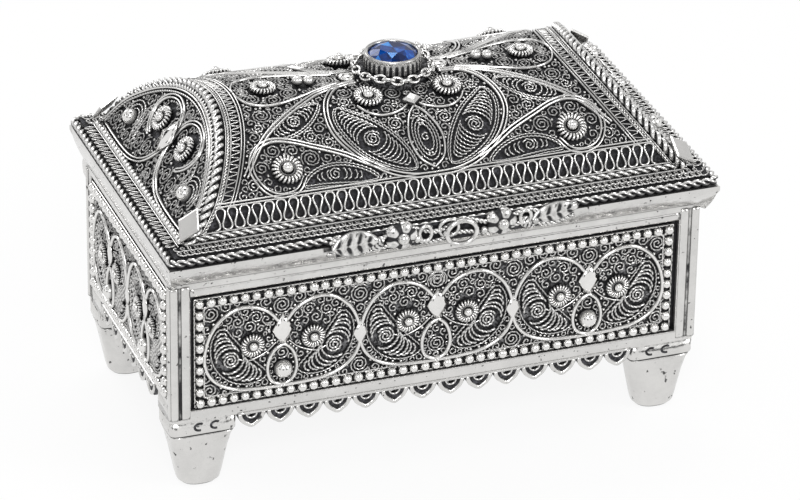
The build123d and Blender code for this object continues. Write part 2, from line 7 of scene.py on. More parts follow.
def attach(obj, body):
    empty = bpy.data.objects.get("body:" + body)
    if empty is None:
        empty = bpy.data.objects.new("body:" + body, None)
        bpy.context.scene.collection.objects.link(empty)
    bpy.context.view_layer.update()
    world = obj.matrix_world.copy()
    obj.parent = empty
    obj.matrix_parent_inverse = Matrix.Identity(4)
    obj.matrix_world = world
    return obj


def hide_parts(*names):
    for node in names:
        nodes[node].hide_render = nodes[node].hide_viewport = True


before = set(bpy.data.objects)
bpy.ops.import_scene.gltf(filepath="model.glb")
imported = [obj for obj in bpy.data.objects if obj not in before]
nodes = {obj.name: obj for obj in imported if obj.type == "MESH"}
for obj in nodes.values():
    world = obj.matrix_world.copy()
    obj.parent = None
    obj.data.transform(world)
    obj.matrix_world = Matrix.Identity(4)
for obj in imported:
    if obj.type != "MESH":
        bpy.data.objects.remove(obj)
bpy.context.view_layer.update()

mm = 0.001
middleY = 1.0  # mm, the middle of the body and of the lid
fullTurn = 2 * np.pi
skyward, frontward = np.array([0.0, 0.0, 1.0]), np.array([0.0, -1.0, 0.0])
print("frame loaded:", len(nodes), "nodes")


def unit(v):
    # a vector divided by its own length, for whole arrays
    return v / np.maximum(np.linalg.norm(v, axis=-1, keepdims=True), 1e-9)


def stacked(*arrays):
    # arrays side by side on a new last axis, where a single number may stand for a whole array
    return np.stack(np.broadcast_arrays(*arrays), -1)


def ellipse(x, y, rx, ry, a):
    # points at angles a: (x + rx·cos a, y + ry·sin a)
    return stacked(x + rx * np.cos(a), y + ry * np.sin(a))


def around(count, shift=0.0):
    # angles at equal steps round a full turn
    return (np.arange(count) + shift) * fullTurn / count


def lengthAlong(path):
    # the summed length of a line up to each of its points
    return np.concatenate([[0], np.cumsum(np.linalg.norm(np.diff(path, axis=0), axis=1))])


def evenly(path, step):
    # the same line with its points at equal steps of length, by interpolation over the summed length
    s = lengthAlong(path)
    want = np.linspace(0, s[-1], max(4, int(round(s[-1] / step)) + 1))
    return np.stack([np.interp(want, s, path[:, k]) for k in range(path.shape[1])], 1)


def spline(points, step):
    # a smooth line through the points: cubics whose slope at a point is half the step from the last point to the next
    p = np.asarray(points, float)
    p = np.vstack([2 * p[:1] - p[1:2], p, 2 * p[-1:] - p[-2:-1]])
    t = np.linspace(0, 1, 14, endpoint=False)[None, :, None]
    a, b, c, d = (p[i:len(p) - 3 + i][:, None, :] for i in range(4))
    q = 0.5 * (2 * b + (c - a) * t + (2 * a - 5 * b + 4 * c - d) * t**2 + (3 * b - a - 3 * c + d) * t**3)
    return evenly(np.vstack([q.reshape(-1, p.shape[1]), p[-2:-1]]), step)


def gridFaces(rows, columns, wrapRows=False, wrapColumns=False):
    # four-sided faces between neighbouring rows and columns of a grid of points
    i = np.arange(rows if wrapRows else rows - 1)[:, None]
    j = np.arange(columns if wrapColumns else columns - 1)[None, :]
    i2, j2 = (i + 1) % rows, (j + 1) % columns
    return stacked(i * columns + j, i * columns + j2, i2 * columns + j2, i2 * columns + j).reshape(-1, 4)


def cappedFaces(rows, count, turned=False):
    # the faces of closed rings stacked in rows, and one more over each end
    ring = np.arange(count)[None]
    faces = [gridFaces(rows, count, False, True), ring[:, ::-1], (rows - 1) * count + ring]
    return [f[:, ::-1] for f in faces] if turned else faces


def slabPart(first, second, polish):
    # two grids of points joined into one closed plate, by walls from each edge point of the first to its twin
    rows, columns = first.shape[:2]
    count = rows * columns
    i, j = np.arange(rows) * columns, np.arange(columns)
    rim = np.concatenate([j, i[1:] + columns - 1, i[-1] + j[-2::-1], i[-2:0:-1]])
    after = np.roll(rim, -1)
    walls = stacked(rim, after, after + count, rim + count)
    faces = gridFaces(rows, columns)
    verts = np.vstack([first.reshape(-1, 3), second.reshape(-1, 3)])
    return verts, [faces[:, ::-1], faces + count, walls], polish


def tube(path, normal, width, height, sides=6, pitch=0.0, swell=0.0, closed=False):
    # a wire along a line: point + side·width·cos(a)·g + top·height·sin(a)·g, with side = normal × direction,
    # top = direction × side and g = 1 + swell·cos(2a − 2π·length/pitch), the outline of two strands twisted together;
    # the polish is (0.5 + 0.5·sin a), less in the valley between the strands
    normal = np.broadcast_to(normal, path.shape)
    if closed and np.linalg.norm(path[0] - path[-1]) < 1e-6:
        path, normal = path[:-1], normal[:-1]
    ahead = unit(np.roll(path, -1, 0) - np.roll(path, 1, 0) if closed else np.gradient(path, axis=0))
    side = unit(np.cross(normal, ahead))
    top = np.cross(ahead, side)
    a = around(sides)
    g = np.ones((len(path), sides))
    polish = np.tile(0.5 + 0.5 * np.sin(a), (len(path), 1))
    if pitch:
        along = lengthAlong(path)
        pitch = along[-1] / max(1, round(along[-1] / pitch))
        strand = np.cos(2 * a[None, :] - fullTurn * along[:, None] / pitch)
        g = 1 + swell * strand
        polish = polish * (0.72 + 0.28 * strand)
    ring = path[:, None] + side[:, None] * (width * np.cos(a) * g)[..., None]
    ring = ring + top[:, None] * (height * np.sin(a) * g)[..., None]
    faces = [gridFaces(len(path), sides, True, True)] if closed else cappedFaces(len(path), sides)
    return ring.reshape(-1, 3), faces, polish.ravel()


def rope(path, normal, strand, orbit, pitch, sides=6, closed=False):
    # two strands wound round a line: point + orbit·(side·cos f + normal·sin f), f = 2π·length/pitch, half a turn apart
    along = lengthAlong(path)
    pitch = along[-1] / max(1, round(along[-1] / pitch))
    normal = np.broadcast_to(normal, path.shape)
    side = unit(np.cross(normal, unit(np.gradient(path, axis=0))))
    made = []
    for half in (0.0, 0.5):
        f = fullTurn * (along / pitch + half)
        wound = path + orbit * (side * np.cos(f)[:, None] + normal * np.sin(f)[:, None])
        made.append(tube(wound, normal, strand, strand, sides, closed=closed))
    return made


def ballShape(rings, segments):
    # a unit ball: circles of latitude between two closed poles
    lat, lon = np.linspace(-np.pi / 2, np.pi / 2, rings + 2)[1:-1, None], around(segments)
    ring = stacked(np.cos(lat) * np.cos(lon), np.cos(lat) * np.sin(lon), np.sin(lat))
    verts = np.vstack([ring.reshape(-1, 3), [[0, 0, -1], [0, 0, 1]]])
    j, low, top = np.arange(segments), rings * segments, (rings - 1) * segments
    after = (j + 1) % segments
    caps = np.vstack([stacked(low, after, j), stacked(low + 1, top + j, top + after)])
    return verts, [gridFaces(rings, segments, False, True), caps], 0.5 + 0.5 * verts[:, 2]


def repeated(shape, centres, normals, sizes, ahead=(1.0, 0.0, 0.0)):
    # one small shape set down many times: centre + size·(side·x + across·y + normal·z)
    v, faces, polish = shape
    centres = np.atleast_2d(np.asarray(centres, float))
    normals, ahead = (np.broadcast_to(np.asarray(k, float), centres.shape) for k in (normals, ahead))
    across = unit(np.cross(normals, ahead))
    side = np.cross(across, normals)
    local = side[:, None] * v[:, :1] + across[:, None] * v[:, 1:2] + normals[:, None] * v[:, 2:]
    verts = centres[:, None] + np.asarray(sizes, float).reshape(-1, 1, 1) * local
    shift = (np.arange(len(centres)) * len(v))[:, None, None]
    return verts.reshape(-1, 3), [(f[None] + shift).reshape(-1, f.shape[1]) for f in faces], np.tile(polish, len(centres))


def joined(parts):
    # several parts as one, with the point numbers of each shifted past those before it
    shifts = np.concatenate([[0], np.cumsum([len(p[0]) for p in parts])[:-1]])
    faces = [f + k for p, k in zip(parts, shifts) for f in p[1]]
    return np.vstack([p[0] for p in parts]), faces, np.concatenate([p[2] for p in parts])


def addObject(name, data):
    # one object, linked into the scene
    made = bpy.data.objects.new(name, data)
    bpy.context.scene.collection.objects.link(made)
    return made


def addPiece(name, parts, material, body, replaced=(), smooth=True, facetReflection=None):
    # points in millimetres become one mesh in metres; "polish" runs from 0 at a wire's root to 1 on its crest
    verts, faces, polish = joined(parts)
    mesh = bpy.data.meshes.new(name)
    corners = np.concatenate([f.ravel() for f in faces]).astype(np.int32)
    totals = np.concatenate([np.full(len(f), f.shape[1]) for f in faces]).astype(np.int32)
    mesh.vertices.add(len(verts))
    mesh.vertices.foreach_set("co", (verts * mm).astype(np.float32).ravel())
    mesh.loops.add(len(corners))
    mesh.loops.foreach_set("vertex_index", corners)
    mesh.polygons.add(len(totals))
    mesh.polygons.foreach_set("loop_start", np.concatenate([[0], np.cumsum(totals)[:-1]]).astype(np.int32))
    mesh.polygons.foreach_set("use_smooth", np.full(len(totals), smooth))
    mesh.update(calc_edges=True)
    mesh.validate()
    mesh.attributes.new("polish", "FLOAT", "POINT").data.foreach_set("value", polish.astype(np.float32))
    # one value per face for painted reflections, where given
    if facetReflection is not None:
        mesh.attributes.new("facetReflection", "FLOAT", "FACE").data.foreach_set("value", np.asarray(facetReflection, np.float32))
    mesh.materials.append(material)
    piece = addObject(name, mesh)
    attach(piece, body)
    if replaced:
        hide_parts(*replaced)
    print("piece", name, int((totals - 2).sum()), "triangles")


# surfaces: each takes two arrays on the surface and a height above it, all in millimetres
vaultForm = {"foot": 52.0, "radius": 35.306, "turn": 0.6845, "shoulder": 10.0, "rise": 15.7, "end": 50.3, "slope": 0.8}
panelGrounds = {"front": -24.6, "back": 26.6, "left": -52.35, "right": 52.35}
rimTop = 52.0


def onVault(x, s, h):
    # crown arc of one radius, then a shoulder arc of a smaller one: the angle grows by length/radius along each
    radius, turn, shoulder = (vaultForm[k] for k in ("radius", "turn", "shoulder"))
    a, way = np.abs(s), np.sign(s)
    crown = np.minimum(a / radius, turn)
    rest = np.maximum(a - turn * radius, 0) / shoulder
    y = radius * np.sin(crown) + shoulder * (np.sin(turn + rest) - math.sin(turn))
    fall = radius * (1 - np.cos(crown)) - shoulder * (np.cos(turn + rest) - math.cos(turn))
    z = vaultForm["foot"] + vaultForm["rise"] - fall
    n = stacked(0.0, way * np.sin(crown + rest), np.cos(crown + rest))
    return stacked(x, middleY + way * y, z) + n * np.reshape(h, (-1, 1)), n


def onEnd(side):
    def place(y, rise, h):
        # the leaning end of the vault: x falls by slope for each unit of rise
        n = unit(np.array([side * 1.0, 0.0, vaultForm["slope"]]))
        x = side * (vaultForm["end"] - vaultForm["slope"] * rise)
        base = stacked(x, middleY + y * side, vaultForm["foot"] + rise)
        return base + n * np.reshape(h, (-1, 1)), np.tile(n, (len(rise), 1))
    return place


def onPanel(side):
    def place(u, z, h):
        # an upright face, u to the right as seen from outside: ground plane + h along the way it faces
        sign = -1.0 if side in ("front", "left") else 1.0
        long, ground = side in ("front", "back"), panelGrounds[side]
        base = stacked(-sign * u, ground, z) if long else stacked(ground, middleY + sign * u, z)
        n = np.array([0.0, sign, 0.0] if long else [sign, 0.0, 0.0])
        return base + n * np.reshape(h, (-1, 1)), np.tile(n, (len(z), 1))
    return place


def onRim(x, y, h):
    # the flat top of the lid's rim
    return stacked(x, y, rimTop + h), np.tile(skyward, (len(x), 1))


def on(surface, u, v, lift):
    # the points and normals of a line on a surface, where a single number may stand for a whole coordinate
    return surface(*(k + 0.0 for k in np.broadcast_arrays(u, v)), lift)


# wires of the filigree: half width, half height, height of the centre, sides, step, and the twist's pitch and swell
wires = {
    "bold": (0.36, 0.52, 0.5, 8, 0.45, 0, 0),
    "frame": (0.2, 0.44, 0.46, 6, 0.45, 0, 0),
    "fine": (0.145, 0.3, 0.29, 6, 0.2, 0.82, 0.36),
    "arc": (0.215, 0.4, 0.38, 6, 0.22, 0.8, 0.16),
    "scroll": (0.16, 0.27, 0.24, 5, 0.24, 0.95, 0.34),
    "plain": (0.15, 0.3, 0.3, 6, 0.35, 0, 0),
}


def lay(surface, lines):
    # each line drawn on a surface becomes a wire standing on it
    out = []
    for kind, line in lines:
        width, height, lift, sides, step, pitch, swell = wires[kind]
        line = evenly(np.asarray(line, float), step)
        out.append(tube(*surface(line[:, 0], line[:, 1], lift), width, height, sides, pitch, swell))
    return out


def offsetLine(line, gap):
    # a line beside another, at right angles to it by gap
    d = unit(np.gradient(line, axis=0))
    return line + gap * stacked(-d[:, 1], d[:, 0])


def coilLine(x, y, radius, start=0.0, hand=1.0, gap=0.62):
    # a flat spiral: radius falls evenly with the angle, by one gap for each turn
    turns = max(1.15, radius / gap - 0.35)
    t = np.linspace(0, 1, int(20 * turns) + 8)
    r = radius * (1 - 0.88 * t)
    a = start + hand * 2 * np.pi * turns * t
    return ellipse(x, y, r, r, a)


def featherLines(spine, half, arcs, rims, centre, bulge=0.55, kind="fine", eyeSize=1.25):
    # a leaf of nested arcs: the spine's point + across·w·sin(f) + along·bulge·w·cos(f), with w = half·sin(πt)^0.6,
    # the arcs turned away from the eye of the leaf, between rims that follow the spine at w plus one wire each
    spineStep, wireGap = 0.3, 0.52
    line = spline(spine, spineStep)
    t = np.linspace(0, 1, len(line))
    ahead = unit(np.gradient(line, axis=0))
    across = stacked(-ahead[:, 1], ahead[:, 0])
    w = half * np.sin(np.pi * np.clip(t, 0, 1)) ** 0.6
    out = []
    for k in range(rims):
        g = np.maximum(w - wireGap * k, 0)
        keep = g > 0
        left, right = line + across * g[:, None], line - across * g[:, None]
        out.append(("fine", np.vstack([left[keep], right[keep][::-1], left[keep][:1]])))
    inner = np.maximum(w - wireGap * rims - 0.1, 0)
    f = np.linspace(-1.45, 1.45, 15)
    for at in np.linspace(0.1, 0.9, arcs):
        i = int(at * (len(line) - 1))
        if abs(at - centre) * (len(line) * spineStep) < eyeSize - 0.1 or inner[i] < 0.4:
            continue
        away = (1.0 if at > centre else -1.0) * bulge * inner[i] * (np.cos(f) - 0.5)
        out.append((kind, line[i] + across[i] * (inner[i] * np.sin(f))[:, None] + ahead[i] * away[:, None]))
    eye = line[int(centre * (len(line) - 1))]
    return out + [(kind, coilLine(*eye, min(1.45 * eyeSize, 0.55 * half), 0.5, gap=0.6))]


def featherDiscs(spine, half):
    # the ground that a leaf covers, as discs along its spine of radius half·sin(πt)^0.6
    line = spline(spine, 0.3)
    t = np.linspace(0.04, 0.96, 14)
    at = (t * (len(line) - 1)).astype(int)
    return [(x, y, r) for (x, y), r in zip(line[at], half * np.sin(np.pi * t) ** 0.6)]


def flipped(lines, fx, fy, dx=0.0, dy=0.0, sx=1.0):
    # the same lines mirrored, shifted or narrowed
    return [(k, np.asarray(line) * [fx * sx, fy] + [dx, dy]) for k, line in lines]


coilForm = {"cells": 0.28, "margin": 0.14, "gap": 0.66, "hookBelow": 0.8, "grainFrom": 0.29, "grain": 0.34}


def packCoils(seed, inside, cells, lines, discs, smallest=0.45, largest=1.95):
    # small spirals in what is left of the ground: the free distance of each cell is the least distance to any wire or
    # disc, the next spiral takes the cell with the most, and every distance is then cut by the new spiral
    rng = np.random.default_rng(seed)
    cells = cells[inside(cells[:, 0], cells[:, 1])]
    drawn = np.vstack([evenly(np.asarray(line, float), 0.4) for _, line in lines])
    blocks = [cells[k:k + 1500] for k in range(0, len(cells), 1500)]
    free = np.concatenate([np.sqrt(((b[:, None] - drawn[None]) ** 2).sum(-1)).min(1) for b in blocks])
    free -= coilForm["margin"]

    def cut(x, y, r, gap=0.0):
        return np.minimum(free, np.hypot(cells[:, 0] - x, cells[:, 1] - y) - r + gap)

    for x, y, r in discs:
        free = cut(x, y, r)
    out, grains = [], []
    for _ in range(1400):
        i = int(np.argmax(free))
        r = min(free[i], largest)
        if r < smallest:
            break
        x, y = cells[i]
        if r < coilForm["hookBelow"]:
            a = np.linspace(0.4, 6.2, 12) + rng.uniform(0, 6.28)
            out.append(("scroll", ellipse(x, y, 0.75 * r, 0.75 * r, a)))
        else:
            start, hand = rng.uniform(0, 6.28), rng.choice([-1.0, 1.0])
            out.append(("scroll", coilLine(x, y, r, start, hand, coilForm["gap"])))
        free = cut(x, y, r, 0.02)
    # the last gaps take single grains, in the same way
    for _ in range(220):
        i = int(np.argmax(free))
        if free[i] < coilForm["grainFrom"]:
            break
        r = min(free[i], coilForm["grain"])
        grains.append((*cells[i], r, 0.75 * r))
        free = cut(*cells[i], r, -0.1)
    return out, np.array(grains)


def cellGrid(x0, x1, y0, y1, size):
    # points at equal steps over a rectangle
    gx, gy = np.meshgrid(np.arange(x0, x1, size), np.arange(y0, y1, size))
    return stacked(gx.ravel(), gy.ravel())


# rosettes: a coil bent into a ring round a ball, with a finer ring between
rosetteForm = {"ring": 1.0, "coil": 0.27, "coilHigh": 0.36, "windings": 21, "wire": 0.115, "ball": 0.47, "ballHigh": 0.66,
               "collar": 0.62, "collarHigh": 0.5, "collarWire": 0.07}


def rosetteShape():
    # coil on a circle: ((R + c·cos nt)·cos t, (R + c·cos nt)·sin t, c·sin nt), scaled so that its outside radius is 1
    f = rosetteForm
    outer = f["ring"] + f["coil"] + f["wire"]
    t, a = around(f["windings"] * 9), around(24)
    r = f["ring"] + f["coil"] * np.cos(f["windings"] * t)
    line = stacked(r * np.cos(t), r * np.sin(t), f["coilHigh"] + f["coil"] * np.sin(f["windings"] * t)) / outer
    coil = tube(line, skyward, f["wire"] / outer, f["wire"] / outer, 5, closed=True)
    ring = stacked(np.cos(a) * f["collar"], np.sin(a) * f["collar"], f["collarHigh"]) / outer
    collar = tube(ring, skyward, f["collarWire"] / outer, f["collarWire"] / outer, 5, closed=True)
    ball = repeated(ballShape(7, 14), [[0, 0, f["ballHigh"] / outer]], skyward, f["ball"] / outer)
    coil = (*coil[:2], np.clip(coil[0][:, 2] * outer * 1.35 - 0.05, 0, 1))
    return joined([coil, (*collar[:2], collar[2] * 0.45), (*ball[:2], 0.55 + 0.45 * ball[2])])


def plateShape(width, height, thick=0.5):
    # a lozenge plate with a raised middle: |x|/width + |y|/height = 1 at its edge
    corners = np.array([[width, 0], [0, height], [-width, 0], [0, -height]])
    levels = ((1, 0), (1, thick * 0.6), (0.45, thick))
    verts = np.vstack([np.column_stack([corners * k, np.full(4, z)]) for k, z in levels])
    return verts, cappedFaces(3, 4), np.repeat([0.4, 1.0], [4, 8])


# materials
def toLinear(hexColour):
    # sRGB hex to linear light: c/12.92 up to 0.04045, else ((c + 0.055)/1.055)^2.4
    c = np.array([int(hexColour[i:i + 2], 16) / 255 for i in (1, 3, 5)])
    c = np.where(c <= 0.04045, c / 12.92, ((c + 0.055) / 1.055) ** 2.4)
    return (*c.tolist(), 1.0)


def addNode(tree, kind, settings=None, links=None):
    # one node with its settings, which are node values or socket values, and its links, which are socket: source
    node = tree.nodes.new(kind)
    for key, value in (settings or {}).items():
        if isinstance(key, int) or key in node.inputs:
            node.inputs[key].default_value = value
        else:
            setattr(node, key, value)
    for key, source in (links or {}).items():
        tree.links.new(source, node.inputs[key])
    return node


def maths(tree, operation, links, settings=None):
    # one operation on one to three values
    return addNode(tree, "ShaderNodeMath", {"operation": operation, **(settings or {})}, links).outputs[0]


def remap(tree, source, fromMin, fromMax, toMin, toMax):
    # a value carried from one range to another
    ends = {"From Min": fromMin, "From Max": fromMax, "To Min": toMin, "To Max": toMax}
    return addNode(tree, "ShaderNodeMapRange", ends, {"Value": source}).outputs["Result"]


def noise(tree, **settings):
    # cloudy noise laid out in the object's own space
    coord = addNode(tree, "ShaderNodeTexCoord")
    return addNode(tree, "ShaderNodeTexNoise", settings, {"Vector": coord.outputs["Object"]}).outputs["Fac"]


def attribute(tree, name):
    # a value that the mesh carries
    return addNode(tree, "ShaderNodeAttribute", {"attribute_name": name}).outputs["Fac"]


def bump(tree, strength, distance, links):
    # relief of a height of distance millimetres
    return addNode(tree, "ShaderNodeBump", {"Strength": strength, "Distance": distance * mm}, links).outputs["Normal"]


def newMaterial(name):
    # an empty node material
    material = bpy.data.materials.new(name)
    material.use_nodes = True
    material.node_tree.nodes.clear()
    return material, material.node_tree


def surfaceShader(tree, settings, links):
    # the shader of a plain surface, led to the output
    shader = addNode(tree, "ShaderNodeBsdfPrincipled", settings, links)
    addNode(tree, "ShaderNodeOutputMaterial", {}, {"Surface": shader.outputs["BSDF"]})


def antiqueSilver(name, look):
    # cast and drawn sterling silver, dipped in liver of sulphur and rubbed bright on its high places: what stands up
    # is near white, what lies deep or in a corner keeps the black sulphide
    material, tree = newMaterial(name)
    cloud = noise(tree, Scale=1 / (look["cloudMm"] * mm), Detail=4.0, Roughness=0.6)
    speck = noise(tree, Scale=1 / (look["pitMm"] * mm), Detail=2.0, Roughness=0.5)
    corner = addNode(tree, "ShaderNodeAmbientOcclusion", {"samples": 6, "Distance": look["cornerMm"] * mm})
    dark = remap(tree, corner.outputs["AO"], look["deepFrom"], look["deepTo"], 1.0, 0.0)
    if look["useCrest"]:
        root = remap(tree, attribute(tree, "polish"), look["rootFrom"], look["rootTo"], 1.0, 0.0)
        dark = maths(tree, "MAXIMUM", {0: dark, 1: root})
    pit = remap(tree, speck, look["pitFrom"], look["pitFrom"] + 0.05, 0.0, 0.85)
    dark = maths(tree, "MAXIMUM", {0: dark, 1: pit})
    smoke = remap(tree, cloud, 0.35, 0.72, 0.0, look["smoke"])
    dark = maths(tree, "ADD", {0: dark, 1: smoke}, {"use_clamp": True})
    colours = {"data_type": "RGBA", 6: toLinear(look["bright"]), 7: toLinear(look["oxide"])}
    colour = addNode(tree, "ShaderNodeMix", colours, {0: dark})
    wave = bump(tree, look["wave"], look["waveMm"], {"Height": cloud})
    surfaceShader(tree, {}, {
        "Base Color": colour.outputs[2],
        "Roughness": remap(tree, dark, 0.0, 1.0, look["roughBright"], look["roughOxide"]),
        "Metallic": remap(tree, dark, 0.0, 1.0, 1.0, 0.25),
        "Normal": bump(tree, look["grain"], 0.03, {"Height": speck, "Normal": wave})})
    return material


castLook = {"bright": "#D9D8D6", "oxide": "#151518", "cloudMm": 6.0, "pitMm": 0.8, "pitFrom": 0.665, "cornerMm": 1.5,
            "deepFrom": 0.36, "deepTo": 0.72, "useCrest": False, "smoke": 0.14, "roughBright": 0.17, "roughOxide": 0.5,
            "wave": 0.6, "waveMm": 0.35, "grain": 0.3}
wireLook = dict(castLook, bright="#E6E5E3", useCrest=True, rootFrom=0.25, rootTo=0.8, cornerMm=0.9, deepFrom=0.3,
                deepTo=0.7, pitFrom=0.8, smoke=0.1, roughBright=0.11, wave=0.2, waveMm=0.1, grain=0.15)
fillLook = dict(wireLook, bright="#DAD9D7", rootFrom=0.26, rootTo=0.88, smoke=0.28, cloudMm=3.0, roughBright=0.16)
beadLook = dict(wireLook, rootFrom=0.3, rootTo=0.7, roughBright=0.09, deepFrom=0.15, deepTo=0.5)
groundLook = dict(castLook, bright="#55555A", oxide="#0E0E11", cloudMm=0.9, pitMm=0.45, pitFrom=0.5, smoke=1.2,
                  cornerMm=1.2, deepFrom=0.3, deepTo=0.95, roughBright=0.35, roughOxide=0.7, wave=1.0, waveMm=0.3,
                  grain=0.8)
shadowLook = dict(castLook, bright="#6E6E72", cornerMm=1.6, deepFrom=0.3, deepTo=0.85, smoke=0.5, cloudMm=2.5,
                  roughBright=0.25)

castSilver = antiqueSilver("castSilver", castLook)
footSilver = antiqueSilver("castFootSilver", dict(
    castLook, useCrest=True, rootFrom=0.0, rootTo=0.6, pitMm=1.3, pitFrom=0.67, cornerMm=0.8))
ropeSilver = antiqueSilver("ropeSilver", dict(
    wireLook, bright="#EDECEA", rootFrom=0.45, rootTo=0.9, cornerMm=1.1, deepFrom=0.35, deepTo=0.75))
wireSilver = antiqueSilver("twistedWireSilver", wireLook)
fillSilver = antiqueSilver("tarnishedWireSilver", fillLook)
beadSilver = antiqueSilver("granuleSilver", beadLook)
panelFillSilver = antiqueSilver("wornWireSilver", dict(
    fillLook, bright="#E6E5E3", rootFrom=0.24, rootTo=0.76, smoke=0.18))
borderSilver = antiqueSilver("brightGranuleSilver", dict(beadLook, rootFrom=0.14, rootTo=0.52))
liftSilver = antiqueSilver("blackenedCastSilver", dict(
    beadLook, rootFrom=0.32, rootTo=0.66, smoke=0.45, cloudMm=1.3, cornerMm=1.2, deepFrom=0.3, deepTo=0.7))
bezelSilver = antiqueSilver("smokedBezelSilver", dict(
    beadLook, bright="#C4C3C1", rootFrom=0.4, rootTo=1.0, smoke=0.4, cloudMm=2.0, roughBright=0.16))
meshSilver = antiqueSilver("blackenedCoilSilver", dict(
    fillLook, bright="#D8D7D5", rootFrom=0.35, rootTo=0.9, cornerMm=0.7, deepFrom=0.25, roughBright=0.12))
oxideSilver = antiqueSilver("oxidisedSilver", groundLook)
wornOxideSilver = antiqueSilver("wornOxidisedSilver", dict(groundLook, bright="#A2A2A4", smoke=1.0, cloudMm=1.4))
shadedSilver = antiqueSilver("shadedSilver", shadowLook)
grooveSilver = antiqueSilver("rubbedGrooveSilver", dict(
    shadowLook, bright="#C8C7C5", smoke=1.6, cloudMm=4.0, cornerMm=0.5))
plateSilver = antiqueSilver("polishedPlateSilver", dict(
    castLook, bright="#C6C5C3", cornerMm=0.35, deepFrom=0.1, deepTo=0.5, pitFrom=0.74, roughBright=0.32))


def cutGlass(name):
    # foil-backed cut glass paste with painted reflections: each facet is given its own colour, from navy to sky, in
    # place of the part of the foil it would throw back
    material, tree = newMaterial(name)
    haze = noise(tree, Scale=620.0, Detail=3.0, Distortion=1.5)
    # painted reflections: the facet's own value, with a little noise, picks its colour on the ramp from dark navy to
    # sky blue
    mixed = maths(tree, "MULTIPLY_ADD", {0: haze, 2: attribute(tree, "facetReflection")}, {1: 0.7})
    ramp = addNode(tree, "ShaderNodeValToRGB", {}, {"Fac": mixed})
    stops = ramp.color_ramp.elements
    stops[0].position, stops[0].color = 0.42, toLinear("#041A48")
    stops[1].position, stops[1].color = 0.8, toLinear("#0E4CA4")
    stops.new(1.0).color = toLinear("#3F90DE")
    surfaceShader(tree, {"IOR": 1.5, "Specular IOR Level": 0.3}, {
        "Base Color": ramp.outputs["Color"], "Roughness": remap(tree, haze, 0.0, 1.0, 0.02, 0.06),
        "Normal": bump(tree, 0.05, 0.02, {"Height": haze})})
    return material


# the finish of a carried-over node goes by the first part of a name that its own name holds
finishes = ((("lozenges",), plateSilver), (("front_panel", "back_panel", "collar"), wornOxideSilver),
            (("posts", "foot", "frame", "lid_rim", "hinge"), castSilver),
            (("ground", "apron", "shell", "vault_end"), oxideSilver), (("",), shadedSilver))
for name, node in nodes.items():
    node.data.materials.clear()
    node.data.materials.append(next(m for parts, m in finishes if any(part in name for part in parts)))
print("materials ready")

rosette, smallBall, grainBall, roundBall = rosetteShape(), ballShape(5, 8), ballShape(3, 6), ballShape(8, 14)


def setBalls(surface, places, shape=smallBall):
    # balls or other shapes at (u, v, radius, height of the centre) on a surface
    u, v, r, h = np.array(places, float).T
    p, n = surface(u, v, h)
    return [repeated(shape, p, n, r, (1.0, 0.02, 0.0) if abs(n[0][0]) < 0.9 else (0.0, 1.0, 0.0))]


def setRosettes(surface, places):
    # rosettes at (u, v, radius) on a surface
    return setBalls(surface, [(*place, 0.15) for place in places], rosette)


def setPlates(surface, places, lift=0.55):
    # lozenge plates at (u, v, half width, half height) on a surface
    out = []
    for u, v, a, b in places:
        p, n = on(surface, [u, u + 0.5], v, lift)
        out.append(repeated(plateShape(a, b), p[:1], n[:1], 1.0, unit(p[1:] - p[:1])))
    return out


# the four panels of the body: heart units between bead rows
heartUnit = {
    "heart": [(0.9, 33.2), (2.8, 35.4), (5.8, 36.9), (9.0, 37.0), (11.9, 35.4), (14.0, 32.8), (15.2, 29.4), (15.35, 26.2),
              (14.3, 23.4), (12.0, 21.2), (8.8, 19.9), (4.7, 19.4), (0.0, 19.3)],
    "drop": [(0.2, 28.2), (-1.5, 27.2), (-2.6, 25.4), (-3.0, 23.0), (-2.5, 21.0), (-1.2, 19.9), (0.4, 19.7), (1.9, 20.6),
             (2.7, 22.6), (2.5, 25.0), (1.6, 27.0), (0.2, 28.2)],
    "saddle": [(8.9, 26.3), (6.6, 25.6), (3.4, 26.8), (1.3, 28.6)],
    "feather": [(11.9, 33.4), (11.8, 30.2), (10.6, 26.8), (8.4, 24.1), (5.6, 22.7), (3.0, 22.2)],
    "featherHalf": 3.25,
    "coils": [(5.2, 34.6, 1.35, 0.3), (8.8, 34.1, 1.3, 2.0), (3.0, 31.9, 0.8, 1.0), (11.3, 33.2, 0.75, 1.0)],
    "rosette": (6.0, 28.9, 2.45),
}
longPanel = {"units": (-1, 0, 1), "pitch": 30.8, "narrow": 1.0, "up": 0.0, "edges": (46.1, 19.0, 38.6),
             "rosette": 1.0, "ball": 1.75, "plate": 2.15, "gapPlate": 1.45, "beads": (47.15, 18.2, 39.25),
             "fill": panelFillSilver}
shortPanel = {"units": (-0.5, 0.5), "pitch": 22.6, "narrow": 0.735, "up": 1.0, "edges": (22.3, 20.0, 40.8),
              "rosette": 0.86, "ball": 1.4, "plate": 1.6, "gapPlate": 1.15, "beads": (22.95, 20.0, 40.75),
              "fill": fillSilver}
beadForm = {"radius": 1.0, "pitch": 2.25, "lift": 0.45}
panelForms = {"front": longPanel, "back": longPanel, "left": shortPanel, "right": shortPanel}


